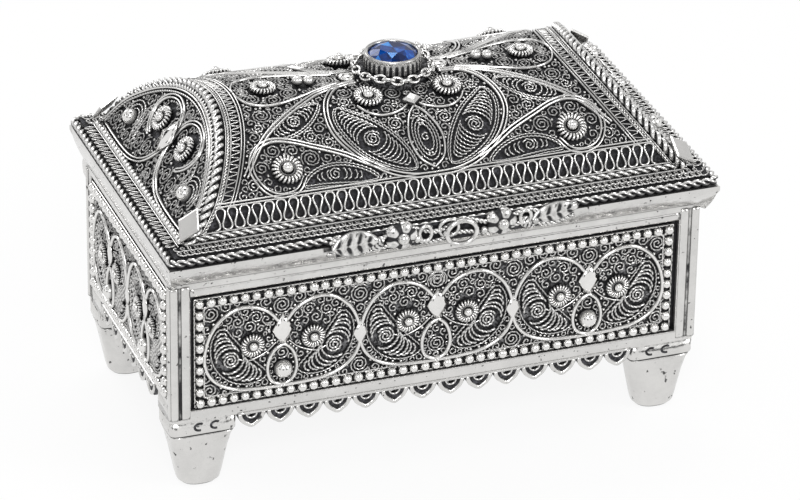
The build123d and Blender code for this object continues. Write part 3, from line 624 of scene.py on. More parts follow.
def panelLines(form):
    # all lines of one panel in its own (u, z), with its rosettes, balls, plates and the discs that coils keep off
    lines, rosettes, balls, plates, discs = [], [], [], [], []
    pitch, narrow, up = form["pitch"], form["narrow"], form["up"]
    own = [("bold", spline(heartUnit["heart"], 0.4)), ("plain", spline(heartUnit["saddle"], 0.3))]
    own += featherLines(heartUnit["feather"], heartUnit["featherHalf"], 13, 1, 0.47, 0.85, "arc", 1.35)
    own += [("fine", coilLine(*coil)) for coil in heartUnit["coils"]]
    for unitNumber in form["units"]:
        cx = unitNumber * pitch
        for f in (-1.0, 1.0):
            lines += flipped(own, f, 1.0, cx, up, narrow)
            leaf = featherDiscs(heartUnit["feather"], heartUnit["featherHalf"])
            discs += [(cx + f * x * narrow, z + up, r * narrow) for x, z, r in leaf]
            x, z, r = heartUnit["rosette"]
            rosettes.append((cx + f * x * narrow, z + up, r * form["rosette"]))
            discs.append((cx + f * x * narrow, z + up, r * form["rosette"] + 0.1))
        lines += flipped([("bold", spline(heartUnit["drop"], 0.4))], 1.0, 1.0, cx, up, narrow)
        if unitNumber == 0:
            lines += flipped([("fine", coilLine(0, 22.8, 1.9, 1.6)), ("fine", coilLine(0, 26.0, 0.9, 1.6))], 1, 1, cx, up)
        else:
            balls.append((cx, 23.0 + up, form["ball"], 0.9))
            discs.append((cx, 23.0 + up, 1.9))
        plates.append((cx, 31.2 + up, form["plate"], 3.5))
        discs.append((cx, 31.2 + up, 2.0))
    for gap in (np.array(form["units"][:-1]) + np.array(form["units"][1:])) / 2 * pitch:
        plates.append((gap, 27.9 + up, form["gapPlate"], 3.0))
        discs.append((gap, 27.9 + up, 1.3))
    return lines, rosettes, balls, plates, discs


def rectangle(half, low, high):
    # its corners in turn, back to the first
    return np.array([[-half, low], [half, low], [half, high], [-half, high], [-half, low]])


def beadBorder(surface, half, low, high):
    # a row of balls on each side of a rectangle, the corners shared, between two thin wires
    f = beadForm
    nx, nz = max(2, round(2 * half / f["pitch"])), max(2, round((high - low) / f["pitch"]))
    x, z = np.linspace(-half, half, nx + 1), np.linspace(low, high, nz + 1)[1:-1]
    u = np.concatenate([x, x, np.full(len(z), -half), np.full(len(z), half)])
    v = np.concatenate([np.full(len(x), low), np.full(len(x), high), z, z])
    jitter = np.random.default_rng(5).uniform(-0.05, 0.05, (2, len(u)))
    balls = stacked(u + jitter[0], v + jitter[1], f["radius"] * (1 + jitter[0]), np.full(len(u), f["lift"]))
    edges = [("scroll", rectangle(half + grow, low - grow, high + grow)) for grow in (-1.0, 0.92)]
    return setBalls(surface, balls) + lay(surface, edges)


for side, form in panelForms.items():
    surface = onPanel(side)
    lines, rosettes, balls, plates, discs = panelLines(form)
    half, low, high = form["edges"]
    inside = lambda x, z, a=half, b=low, c=high: (np.abs(x) < a + 0.6) & (z > b - 0.1) & (z < c + 0.1)
    edges = [("plain", rectangle(half + 1, low - 0.5, high + 0.5))]
    coils, grains = packCoils(11, inside, cellGrid(-half - 1, 0.01, low, high, coilForm["cells"]), lines + edges, discs)
    coils = coils + flipped(coils, -1.0, 1.0)
    addPiece(side + "Filigree", lay(surface, lines), wireSilver, "box", [side + "_scrolls"])
    grains = np.vstack([grains, grains * [-1, 1, 1, 1]])
    addPiece(side + "Coils", lay(surface, coils) + setBalls(surface, grains, grainBall), form["fill"], "box")
    extras = setRosettes(surface, rosettes) + setPlates(surface, plates) + setBalls(surface, balls, roundBall)
    addPiece(side + "Rosettes", extras, beadSilver, "box")
    addPiece(side + "BeadRows", beadBorder(surface, *form["beads"]), borderSilver, "box", [side + "_bead_border"])

# feet: a rounded tapering leg under a square block, an incised line between, an ear behind the post;
# a level is height, half width, half depth and the exponent of its outline
footForm = {
    "x": 46.5, "y": 22.45,
    "levels": [(0.0, 2.6, 2.1, 2.3), (0.25, 3.5, 2.9, 2.3), (0.9, 4.15, 3.45, 2.4), (2.2, 4.5, 3.62, 2.5),
               (5.0, 5.05, 3.82, 2.7), (8.0, 5.6, 4.0, 3.1), (10.4, 6.05, 4.15, 4.2), (11.35, 6.3, 4.25, 6.0),
               (11.5, 6.28, 4.22, 7.0), (11.58, 6.02, 3.98, 7.0), (11.86, 6.04, 4.0, 8.0), (11.94, 6.46, 4.26, 9.0),
               (12.2, 6.5, 4.3, 10.0), (14.9, 6.5, 4.3, 12.0)],
    "ear": (51.75, 21.45, 1.25, 3.3, 14.7, 18.2),
    "incision": (11.52, 11.9),
    "crescents": {"x": (47.4, 44.2), "y": -25.74, "z": 13.5, "half": (0.95, 0.72), "wire": (0.27, 0.07)},
}


def squareLoft(centreX, centreY, levels, count=72):
    # sections stacked by height: |x/a|^e + |y/b|^e = 1, from an ellipse at e = 2 to nearly a rectangle at e = 12
    z, ax, ay, e = (np.array(levels, float)[:, k][:, None] for k in range(4))
    t = around(count, 0.5)
    c, s = np.cos(t)[None], np.sin(t)[None]
    r = (np.abs(c) ** e + np.abs(s) ** e) ** (-1 / e)
    pts = stacked(centreX + ax * r * c, centreY + ay * r * s, z)
    low, high = footForm["incision"]
    polish = np.where((z > low) & (z < high), 0.0, 1.0) + 0 * c
    return pts.reshape(-1, 3), cappedFaces(len(levels), count), polish.ravel()


footLevels = np.array(footForm["levels"])
heights = np.unique(np.concatenate([footLevels[:, 0], np.linspace(0, 10.4, 22)]))
footLevels = np.stack([heights] + [np.interp(heights, footLevels[:, 0], footLevels[:, k]) for k in (1, 2, 3)], -1)
for ax, ay, corner in ((-1, -1, "front_left"), (1, -1, "front_right"), (-1, 1, "back_left"), (1, 1, "back_right")):
    ex, ey, hx, hy, z0, z1 = footForm["ear"]
    parts = [squareLoft(ax * footForm["x"], middleY + ay * footForm["y"], footLevels),
             squareLoft(ax * ex, middleY + ay * ey, [(z0, hx, hy, 12.0), (z1, hx, hy, 12.0)], 48)]
    addPiece("foot" + corner.title().replace("_", ""), parts, footSilver, "box", ["foot_" + corner])
f = footForm["crescents"]
marks = []
for x in (fx * x for fx in (-1, 1) for x in f["x"]):
    arc = ellipse(x, f["z"], *f["half"], np.linspace(0.9, 5.0, 16))
    marks.append(tube(stacked(arc[:, 0], f["y"], arc[:, 1]), frontward, *f["wire"]))
addPiece("footCrescents", marks, oxideSilver, "box")

# corner posts: rounded ribs with a broad blackened channel between; each is inset from the corner, half width, height
# and whether it stands on the short face
postForm = {"low": 15.6, "high": 43.6, "x": 53.0, "y": 26.75,
            "ribs": [(0.78, 0.74, 0.34, False), (2.98, 0.84, 0.26, False), (0.66, 0.6, 0.3, True)],
            "channels": [(1.86, 0.32, 0.05, False), (1.55, 0.24, 0.05, True)]}


def postWires(rows, sides):
    # upright wires at (±x, middle ± y) on all four posts, the inset taken off x on a long face, off y on a short one
    z = np.linspace(postForm["low"], postForm["high"], 40)
    out = []
    for fx in (-1, 1):
        for fy in (-1, 1):
            for inset, wide, high, short in rows:
                x, y = postForm["x"] - inset * (not short), postForm["y"] - inset * short
                normal = [fx, 0, 0] if short else [0, fy, 0]
                out.append(tube(stacked(fx * x, middleY + fy * y, z), normal, wide, high, sides))
    return out


addPiece("postRibs", postWires(postForm["ribs"], 12), footSilver, "box")
addPiece("postChannels", postWires(postForm["channels"], 6), grooveSilver, "box")

# scallops: a broad rim that comes to a soft point, a small loop inside, and the black pierced plate between
scallopForm = {"pitch": 5.714, "outer": 2.3, "point": 0.17, "pointWidth": 0.32, "inner": 1.05, "rim": (0.44, 0.36),
               "loop": (0.2, 0.3), "header": (0.3, 0.34), "long": (14, 14.75, 1.12), "short": (6, 18.05, 0.62)}
for side in panelForms:
    f = scallopForm
    surface = onPanel(side)
    number, top, out = f["long" if side in ("front", "back") else "short"]
    a = np.linspace(math.pi, 2 * math.pi, 25)
    # rim: radius·(cos a, sin a·(1 + point·exp(−((a − 3π/2)/pointWidth)²)))
    tip = 1 + f["point"] * np.exp(-((a - 1.5 * math.pi) / f["pointWidth"]) ** 2)
    rims = []
    for x in (np.arange(number) - (number - 1) / 2) * f["pitch"]:
        rims.append(tube(*on(surface, x + f["outer"] * np.cos(a), top + f["outer"] * np.sin(a) * tip, out), *f["rim"], 8))
        rims.append(tube(*on(surface, x + f["inner"] * np.cos(a), top + f["inner"] * np.sin(a), out - 0.05), *f["loop"]))
    x = np.linspace(-0.5, 0.5, 60) * (number * f["pitch"] - 0.3)
    rims.append(tube(*on(surface, x, top + 0.12, out), *f["header"], 8))
    addPiece(side + "ScallopRims", rims, footSilver, "box")

# the rounded lower edge of the frame's top rail: it leaves a dark line above the granules
lipForm = {"half": 49.1, "z": 42.05, "out": 0.72, "high": 0.95, "thick": 0.5}
x = np.linspace(-lipForm["half"], lipForm["half"], 120)
lips = [tube(*on(onPanel(side), x, lipForm["z"], lipForm["out"]), lipForm["high"], lipForm["thick"], 12)
        for side in ("front", "back")]
addPiece("panelLips", lips, footSilver, "box")
print("panels ready")

# the lid's vault: lines of one quarter, x < 0 and s < 0, mirrored both ways
vaultLines = {
    "heart": [(-8.2, -2.6), (-12.2, -3.4), (-14.9, -6.2), (-16.5, -9.9), (-17.0, -13.6), (-16.3, -17.0), (-14.0, -20.8),
              (-10.8, -23.6), (-7.8, -25.3), (-4.0, -26.3), (0, -26.5)],
    "drop": [(0, -11.8), (-1.6, -13.8), (-3.0, -17.5), (-3.2, -20.7), (-2.2, -23.8), (0, -25.6)],
    "bowl": [(-10.6, -9.8), (-9.4, -11.6), (-7.3, -12.9), (-4.8, -13.0), (-2.4, -12.2), (-1.2, -11.3)],
    "diagonal": [(-11.9, -2.5), (-16.5, -3.9), (-20.7, -6.4), (-25.8, -10.0), (-29.8, -13.3), (-32.7, -16.6),
                 (-34.6, -19.2), (-36.6, -22.0)],
    "crownLeaf": [(-11.7, -1.8), (-15.5, -2.9), (-20.4, -4.8), (-25, -6.0), (-28.2, -5.8), (-30.6, -4.4), (-31.8, -1.8),
                  (-32, 0)],
    "comma": [(-25.5, -23.6), (-27.2, -25.7), (-29.6, -26.3), (-31.9, -25.8), (-33.6, -24.2), (-34.5, -21.6),
              (-34.1, -19.1), (-32.3, -16.7), (-29.6, -15.6), (-26.4, -16.1), (-22, -18.1), (-17, -20.5), (-12.9, -23.1),
              (-9, -25.0)],
}
doubled = {"heart": -0.68, "diagonal": 0.68, "comma": 0.68}  # lines with a second wire beside them, and its distance
# leaves: spine, half width, arcs, rims, place of the eye
vaultFeathers = [
    ([(-14.6, -9.2), (-13.7, -12.4), (-12.0, -15.4), (-9.9, -18.4), (-7.6, -21.0), (-5.5, -23.2), (-3.4, -25.3)],
     4.05, 19, 2, 0.5),
    ([(-17.4, -7.3), (-20.2, -9.1), (-23.6, -11.4), (-27.0, -13.3), (-30.4, -14.3)], 2.75, 13, 2, 0.5),
    ([(-26.0, -25.6), (-22.4, -24.3), (-18.6, -24.1), (-14.6, -24.9), (-10.8, -26.1)], 2.25, 13, 2, 0.45)]
vaultRosettes = [(-7.9, -8.0, 2.9), (-28.3, -22.0, 3.1)]
vaultCoils = [(-21.6, -15.5, 1.5), (-18.7, -17.3, 1.3), (-30.8, -11.6, 1.2), (-12.7, -8.0, 1.2), (-3.6, -10.9, 0.8),
              (-4.9, -15.4, 1.6), (-35.2, -24.1, 1.3), (-37.6, -25.8, 1.0)]
crownPlaces = {"leafRosette": (26.0, 2.6), "pair": 18.0, "pad": 9.2, "drop": (19.3, 0.95)}


def riseAt(s):
    # height of the vault above its foot: z(s) − foot
    return onVault(np.zeros_like(s), s, 0.0)[0][:, 2] - vaultForm["foot"]


def archLine(inset, reach=33.0, step=0.3):
    # a line over the vault at a fixed distance from its leaning end: x = end − slope·rise(s) − inset
    s = np.arange(-reach, reach + step / 2, step)
    return stacked(-(vaultForm["end"] - vaultForm["slope"] * riseAt(s) - inset), s)


quarter = []
for key, points in vaultLines.items():
    line = spline(points, 0.4)
    quarter.append(("frame", line))
    if key in doubled:
        quarter.append(("frame", offsetLine(line, doubled[key])))
for feather in vaultFeathers:
    quarter += featherLines(*feather, 0.7)
quarter += [("fine", coilLine(x, s, r, 1.0 + i)) for i, (x, s, r) in enumerate(vaultCoils)]
for a, b in ((2.4, 5.2), (1.85, 4.2), (1.3, 3.1)):
    t = np.linspace(np.pi / 2, 3 * np.pi / 2, 24)
    quarter.append(("fine", ellipse(0, -crownPlaces["drop"][0], a, 0.95 * b, t)))
inward = archLine(5.9)


def insideVault(x, s):
    # between the arch band and the crown line, above the ribbon, outside the collar of the setting
    edge = np.interp(s, inward[:, 1], inward[:, 0])
    return (x > edge + 0.1) & (s > -26.5) & (np.hypot(x, s) > 7.6)


discs = [(x, s, r + 0.1) for x, s, r in vaultRosettes]
discs += [(-26.0, 0, 2.6), (-18.0, 0, 2.0), (-9.2, 0.0, 1.9), (0, -10.2, 1.8), (0, -19.3, 2.2)]
for spine, half, *_ in vaultFeathers:
    discs += featherDiscs(spine, half)
border = [("plain", inward), ("plain", np.array([[-45.0, -26.8], [0.0, -26.8]]))]
coils, grains = packCoils(3, insideVault, cellGrid(-44, 0.01, -26.9, 0.01, coilForm["cells"]), quarter + border, discs)
for fy, label in ((1.0, "Front"), (-1.0, "Back")):
    for fx, way in ((1.0, "Left"), (-1.0, "Right")):
        stands = ["vault_filigree"] if (fx, fy) == (1.0, 1.0) else []
        addPiece("vaultFiligree" + label + way, lay(onVault, flipped(quarter, fx, fy)), wireSilver, "lid", stands)
        fill = lay(onVault, flipped(coils, fx, fy)) + setBalls(onVault, grains * [fx, fy, 1, 1], grainBall)
        addPiece("vaultCoils" + label + way, fill, fillSilver, "lid")
flat, both = ballShape(6, 16), (1, -1)
flatBall = (flat[0] * [1, 1, 0.45], flat[1], 0.6 + 0.4 * flat[2])
places = [(fx * x, fy * s, r) for x, s, r in vaultRosettes for fx in both for fy in both]
x, r = crownPlaces["leafRosette"]
places += [(x, 0, r), (-x, 0, r)]
pads = [(fx * crownPlaces["pad"], 0.0, 1.75, 0.55) for fx in both]
pairs = [(fx * crownPlaces["pair"] + dx, ds, 1.05, 1.1) for fx in both for dx, ds in ((-1.0, 0.3), (1.0, -0.3))]
s, r = crownPlaces["drop"]
dropCoils = lay(onVault, [("fine", coilLine(0, fy * s, r, 1.0)) for fy in (-1, 1)])
studs = setRosettes(onVault, places) + setBalls(onVault, pads, flatBall) + setBalls(onVault, pairs, roundBall)
addPiece("vaultRosettes", studs + dropCoils, beadSilver, "lid", ["rosettes", "flower_pads", "granule_pairs"])
print("vault ready")

# ribbons at the foot of the vault: a meander between a double wire and a rope
ribbonForm = {"margin": 2.2, "middle": 29.1, "half": 1.95, "pitch": 2.35, "pinch": 0.26,
              "edges": (26.45, 27.0, 31.23, 32.75), "edgeLift": 0.42, "edgeWire": (0.17, 0.36),
              "rope": 31.95, "ropeLift": 0.62, "strands": (0.35, 0.35, 3.9),
              "meanderLift": 0.32, "meanderWire": (0.205, 0.36)}


def reachAt(s):
    # half the length of the ribbon at s, up to the arch: end − slope·rise(s) − margin
    return vaultForm["end"] - vaultForm["slope"] * float(riseAt(np.array([s]))[0]) - ribbonForm["margin"]


f = ribbonForm
reach = reachAt(f["middle"]) - 1.2
loops = round(2 * reach / f["pitch"])
t = np.linspace(0, loops * fullTurn, loops * 22)
# meander: x = pitch·t/2π + pinch·pitch·sin 2t, s = middle + half·cos t
meanderX = -reach + 2 * reach * t / t[-1] + f["pinch"] * f["pitch"] * np.sin(2 * t)
ribbons, edges, ribbonRopes = [], [], []
for fy in (-1.0, 1.0):
    meander = on(onVault, meanderX, fy * (f["middle"] + f["half"] * np.cos(t)), f["meanderLift"])
    ribbons.append(tube(*meander, *f["meanderWire"]))
    for s in f["edges"]:
        edge = on(onVault, np.linspace(-reachAt(s), reachAt(s), 220), fy * s, f["edgeLift"])
        edges.append(tube(*edge, *f["edgeWire"]))
    r = reachAt(f["rope"]) + 0.6
    ribbonRopes += rope(*on(onVault, np.linspace(-r, r, 700), fy * f["rope"], f["ropeLift"]), *f["strands"])
addPiece("meanderWires", ribbons, wireSilver, "lid", ["meander_ribbons"])
addPiece("ribbonWires", edges, wireSilver, "lid", ["ribbon_edges"])
addPiece("ribbonRopes", ribbonRopes, ropeSilver, "lid")

# arches over the two ends: thick rope on the edge, double wire, thin rope, serpentine hatch, double wire
archForm = {"rope": (0.46, 0.52, 3.7), "thinRope": (0.19, 0.17, 1.5), "wire": (0.15, 0.36), "hatchWire": (0.11, 0.26),
            "ropeAt": (0.75, 33.0, 0.16, 0.55), "thinAt": (2.62, 33.0, 0.12, 0.45),  # inset, reach, step, lift
            "wiresAt": ((2.1, 32.8, 0.4, 0.4), (3.1, 27.0, 0.4, 0.4), (5.15, 27.0, 0.4, 0.4), (5.75, 27.0, 0.4, 0.4)),
            "hatch": (3.3, 4.95), "hatchPitch": 1.5, "hatchReach": 27.0, "hatchLift": 0.3}


def arch(fx, inset, reach, step, lift):
    # points and normals of such a line, mirrored for the other end, at a height over the vault
    line = archLine(inset, reach, step)
    return onVault(fx * line[:, 0], line[:, 1], lift)


f = archForm
archRopes, archBands = [], []
# serpentine hatch: inset = middle + half·cos t with flat ends, the length along the arch growing evenly with t
middle, half = sum(f["hatch"]) / 2, (f["hatch"][1] - f["hatch"][0]) / 2
loops = round(2 * f["hatchReach"] / f["hatchPitch"])
t = np.linspace(0, loops * fullTurn, loops * 14)
s = f["hatchReach"] * (2 * t / t[-1] - 1)
x = vaultForm["end"] - vaultForm["slope"] * riseAt(s) - middle - half * np.clip(1.25 * np.cos(t), -1, 1)
for fx in (1.0, -1.0):
    archRopes += rope(*arch(fx, *f["ropeAt"]), *f["rope"])
    archBands += rope(*arch(fx, *f["thinAt"]), *f["thinRope"], 5)
    archBands += [tube(*arch(fx, *at), *f["wire"]) for at in f["wiresAt"]]
    archBands.append(tube(*on(onVault, -fx * x, s, f["hatchLift"]), *f["hatchWire"], 5))
addPiece("archRopes", archRopes, ropeSilver, "lid", ["arch_ropes"])
addPiece("archBands", archBands, meshSilver, "lid", ["arch_bands"])

# the leaning ends: an omega of double wire round a lozenge, rosettes, balls in nested arcs
endForm = {"omega": [(24, 1.3), (18, 1.2), (12, 1.3), (7.5, 1.8), (4.0, 3.1), (1.6, 5.4), (0.6, 8.0), (0.9, 10.4),
                     (2.6, 12.1), (6.0, 12.8), (9.6, 12.1), (11.6, 10.6), (11.6, 8.9), (10.2, 7.3), (8.2, 6.2)],
           "leaf": [(12.2, 2.4), (13.4, 4.6), (13.6, 7.0), (12.8, 9.6)],
           "rosette": (6.9, 9.1, 2.75), "ball": (17.0, 5.2, 1.6, 1.0), "plate": (0.0, 8.3, 2.75, 3.8), "plateLift": 1.35,
           "reach": 31.5, "arcs": (1.6, 2.3, 3.0), "rope": (0.29, 0.31, 2.3), "ropeLift": 0.3}


def endOutline(count, height):
    # the vault's own outline in the end's (y, rise), a little above or below it
    s = np.linspace(0, endForm["reach"], count)
    p, n = on(onVault, 0.0, s, height)
    return stacked(p[:, 1] - middleY, p[:, 2] - vaultForm["foot"]), n[:, 1:]


omega = spline(endForm["omega"], 0.4)
endHalf = [("frame", omega), ("frame", offsetLine(omega, 0.55))]
ballY, ballRise = endForm["ball"][:2]
for r in endForm["arcs"]:
    a = np.linspace(-0.5, 3.6, 18)
    endHalf.append(("fine", ellipse(ballY, ballRise, 1.25 * r, r, a)))
endHalf += featherLines(endForm["leaf"], 1.0, 7, 1, 0.5)
edgeWire, edgeNormal = endOutline(90, -0.55)
edgeWire[:, 1] -= 0.1
endHalf.append(("frame", edgeWire[edgeWire[:, 1] > 0.6]))
innerWire = edgeWire - 0.55 * edgeNormal
endHalf.append(("arc", innerWire[innerWire[:, 1] > 0.8]))
endEdge = endOutline(330, -0.1)[0]
endEdge = endEdge[endEdge[:, 1] > 0.7]


def insideEnd(y, z):
    # under the outline, above the foot
    return (z > 1.5) & (z < np.interp(y, edgeWire[:, 0], edgeWire[:, 1]) - 0.5) & (np.abs(y) < 24.4)


endDiscs = [(6.9, 9.1, 2.85), (17.0, 5.2, 1.7), (0, 8.3, 1.4)]
endFill, endGrains = packCoils(7, insideEnd, cellGrid(-0.01, 25, 0.8, 15.5, 0.25), endHalf, endDiscs, 0.45, 1.7)
endPieces, endCoils, endBalls, endRopes = [], [], [], []
for fx in (-1, 1):
    surface = onEnd(fx)
    endCoils += lay(surface, endFill + flipped(endFill, -1.0, 1.0))
    endCoils += setBalls(surface, np.vstack([endGrains, endGrains * [-1, 1, 1, 1]]), grainBall)
    endPieces += lay(surface, endHalf + flipped(endHalf, -1.0, 1.0))
    # a rope on the very edge of the end closes the step up to the arch rope
    for flip in (1.0, -1.0):
        edge = on(surface, flip * endEdge[:, 0], endEdge[:, 1], endForm["ropeLift"])
        endRopes += rope(*edge, *endForm["rope"])
    (y, *rosetteRest), (z, *ballRest) = endForm["rosette"], endForm["ball"]
    endBalls += setRosettes(surface, [(y, *rosetteRest), (-y, *rosetteRest)])
    endBalls += setBalls(surface, [(z, *ballRest), (-z, *ballRest)], roundBall)
    endBalls += setPlates(surface, [endForm["plate"]], endForm["plateLift"])
addPiece("endFiligree", endPieces, wireSilver, "lid")
addPiece("endRopes", endRopes, ropeSilver, "lid")
addPiece("endCoils", endCoils, fillSilver, "lid")
addPiece("endBeads", endBalls, beadSilver, "lid")
print("arches and ends ready")

# the rim: a rope round its edge, coil mesh on its flat, a rope along each end
rimForm = {"x": 54.1, "front": -30.6, "back": 32.6, "z": 51.35, "rope": (0.41, 0.41, 3.8), "corner": 1.2,
           "strips": (-27.95, 29.95), "endStrip": 51.45, "stripHalf": 1.75, "stripLow": 51.9, "stripTop": 52.03,
           "bump": 0.05, "endMesh": 52.35, "coilWire": (0.15, 0.24), "endRope": 50.55, "endStrands": (0.47, 0.38, 3.0),
           "endWire": 51.35, "longWires": (-26.15, 28.15)}


def roundedLoop(x, y0, y1, corner, step):
    # a rectangle with quarter circles at its corners, as one closed line
    a, x, y0, y1 = np.linspace(0, np.pi / 2, 7), x - corner, y0 + corner, y1 - corner
    centres = ((x, y1), (-x, y1), (-x, y0), (x, y0))
    parts = [ellipse(cx, cy, corner, corner, a + k * np.pi / 2) for k, (cx, cy) in enumerate(centres)]
    return evenly(np.vstack(parts + [parts[0][:1]]), step)


f = rimForm
loop = roundedLoop(f["x"], f["front"], f["back"], f["corner"], 0.3)
loop = np.column_stack([loop, np.full(len(loop), f["z"])])
addPiece("edgeRope", rope(loop, skyward, *f["rope"], 7, True), ropeSilver, "lid", ["edge_rope"])


def coilStrip(a, b, across, along, pitch, lift, phase=0.0):
    # a flattened coil along a straight line: point = start + way·(pitch·t/2π + along·cos t) + sideways·across·sin t
    a, b = np.array(a, float), np.array(b, float)
    way = unit(b - a)
    length = np.linalg.norm(b - a) - 2 * along
    turns = max(2, round(length / pitch))
    t = np.linspace(0, turns * fullTurn, turns * 12) + phase
    base = a + way * (along + length * (t - phase)[:, None] / (turns * fullTurn))
    line = base + along * np.cos(t)[:, None] * way + across * np.sin(t)[:, None] * np.array([-way[1], way[0]])
    return tube(*onRim(line[:, 0], line[:, 1], lift), *rimForm["coilWire"], 5)


def rimGround(x0, x1, y0, y1):
    # a blackened strip under the mesh: z = top + bump·(1 + sin(3x)·sin(3y)), closed by short walls
    f = rimForm
    steps = [max(3, int(size / 1.2)) for size in (x1 - x0, y1 - y0)]
    x, y = np.meshgrid(np.linspace(x0, x1, steps[0]), np.linspace(y0, y1, steps[1]), indexing="ij")
    top = stacked(x, y, f["stripTop"] + f["bump"] * (1 + np.sin(3 * x) * np.sin(3 * y)))
    return slabPart(top, stacked(x, y, f["stripLow"]), np.zeros(2 * x.size))


h = rimForm["stripHalf"]
strips = [rimGround(-53.2, 53.2, y - h, y + h) for y in rimForm["strips"]]
strips += [rimGround(x - h, x + h, -26.1, 28.1) for x in (-rimForm["endStrip"], rimForm["endStrip"])]
addPiece("rimGround", strips, oxideSilver, "lid", smooth=False)
mesh = [coilStrip((-52.9, y + dy), (52.9, y + dy), 0.8, 0.62, 1.3, 0.28, phase)
        for y in rimForm["strips"] for dy, phase in ((-0.86, 0.0), (0.86, 0.8))]
mesh += [coilStrip((x, -26.3), (x, 28.3), 1.15, 0.8, 1.6, 0.3) for x in (-rimForm["endMesh"], rimForm["endMesh"])]
addPiece("rimCoilMesh", mesh, meshSilver, "lid", ["rim_coil_strips"])
rows = []
for fx in (-1, 1):
    row = on(onRim, fx * rimForm["endRope"], np.linspace(-25.6, 27.6, 420), 0.62)
    rows += rope(*row, *rimForm["endStrands"], 7)
    rows.append(tube(*on(onRim, fx * rimForm["endWire"], np.linspace(-26.0, 28.0, 120), 0.3), 0.13, 0.25))
for y in rimForm["longWires"]:
    rows.append(tube(*on(onRim, np.linspace(-50.0, 50.0, 220), y, 0.3), 0.16, 0.3))
addPiece("rimBeadRows", rows, ropeSilver, "lid", ["rim_bead_rows"])
print("rim ready")

# the setting: gadrooned cup, stone, ring of small links
cupForm = {"profile": [(4.3, 69.3), (5.45, 69.35), (5.55, 70.2), (5.5, 71.2), (5.35, 71.7), (5.45, 71.95), (5.4, 72.3),
                       (5.05, 72.4), (4.75, 72.2), (4.72, 71.4), (4.3, 70.6)],
           "steps": 240, "lobes": 30, "depth": 0.045}
linkForm = {"count": 28, "ring": 7.3, "z": 69.5, "wave": 0.21, "half": (1.15, 0.72), "wire": 0.26}


def cupPart():
    # revolved profile whose wall swells as 1 + depth·cos(lobes·angle) between foot and rim
    profile = spline(cupForm["profile"], 0.22)
    a = around(cupForm["steps"])
    lobe = np.abs(np.cos(a * cupForm["lobes"] / 2))
    wall = (np.clip((71.6 - profile[:, 1]) / 0.4, 0, 1) * (profile[:, 0] > 5.0))[:, None]
    r = profile[:, :1] * (1 + cupForm["depth"] * wall * (lobe - 0.8))
    pts = stacked(r * np.cos(a), middleY + r * np.sin(a), profile[:, 1:])
    return pts.reshape(-1, 3), cappedFaces(len(profile), len(a)), (1 - wall * (1 - lobe) * 1.2).ravel()


addPiece("bezelCup", [cupPart()], bezelSilver, "lid", ["bezel_cup"])

f = linkForm
t, a = around(14), around(f["count"])
# an oval link: (a·cos t, b·sin t) as a closed wire
oval = stacked(f["half"][0] * np.cos(t), f["half"][1] * np.sin(t), 0.0)
link = tube(oval, skyward, f["wire"], f["wire"], closed=True)
spot = stacked(f["ring"] * np.cos(a), middleY + f["ring"] * np.sin(a), f["z"] + f["wave"] * np.sin(5 * a))
radial = stacked(np.cos(a), np.sin(a), 0.0)
tilt = np.where(np.arange(len(a)) % 2 == 0, 0.75, -0.65)[:, None]
facing = unit(skyward * np.cos(tilt) + radial * np.sin(tilt))
chain = repeated(link, spot, facing, 1.0, stacked(-np.sin(a), np.cos(a), 0.25 * np.cos(2 * a)))
addPiece("linkRing", [(*chain[:2], np.clip(0.55 + 0.5 * chain[2], 0, 1))], beadSilver, "lid", ["chain_ring"])


def stonePart():
    # round brilliant crown: eight-sided table, star and kite points between, sixteen-sided girdle, closed below
    rings = [(2.55, 73.08, 8, 0.0), (3.75, 72.55, 8, 0.5), (4.68, 71.9, 16, 0.0), (4.68, 71.5, 16, 0.0)]
    verts = []
    for r, z, count, shift in rings:
        t = around(count, shift)
        verts.append(stacked(r * np.cos(t), middleY + r * np.sin(t), z))
    verts = np.vstack(verts + [[[0, middleY, 70.4], [0, middleY, 73.08]]])
    k, m = np.arange(8), np.arange(16)
    n, m1 = (k + 1) % 8, (m + 1) % 16
    odd, even, nextEven = 16 + 2 * k + 1, 16 + 2 * k, 16 + (2 * k + 2) % 16
    tris = [(k, 8 + k, n), (8 + k, odd, nextEven), (8 + k, even, odd), (n, 8 + k, nextEven), (n, nextEven, 8 + n),
            (49, k, n), (48, 32 + m1, 32 + m)]
    quads = stacked(16 + m, 32 + m, 32 + m1, 16 + m1)
    return verts, [np.vstack([stacked(*tri) for tri in tris]), quads]


verts, faces = stonePart()
count = sum(len(f) for f in faces)
# painted reflections: each facet of the stone gets its own value, standing in for the part of the foil it throws back
facetReflections = np.random.default_rng(21).choice([0.02, 0.16, 0.3, 0.42, 0.62], count, p=[0.2, 0.26, 0.26, 0.18, 0.1])
addPiece("blueStone", [(verts, faces, np.ones(len(verts)))], cutGlass("cutBlueGlass"), "lid", ["stone"],
         False, facetReflections)

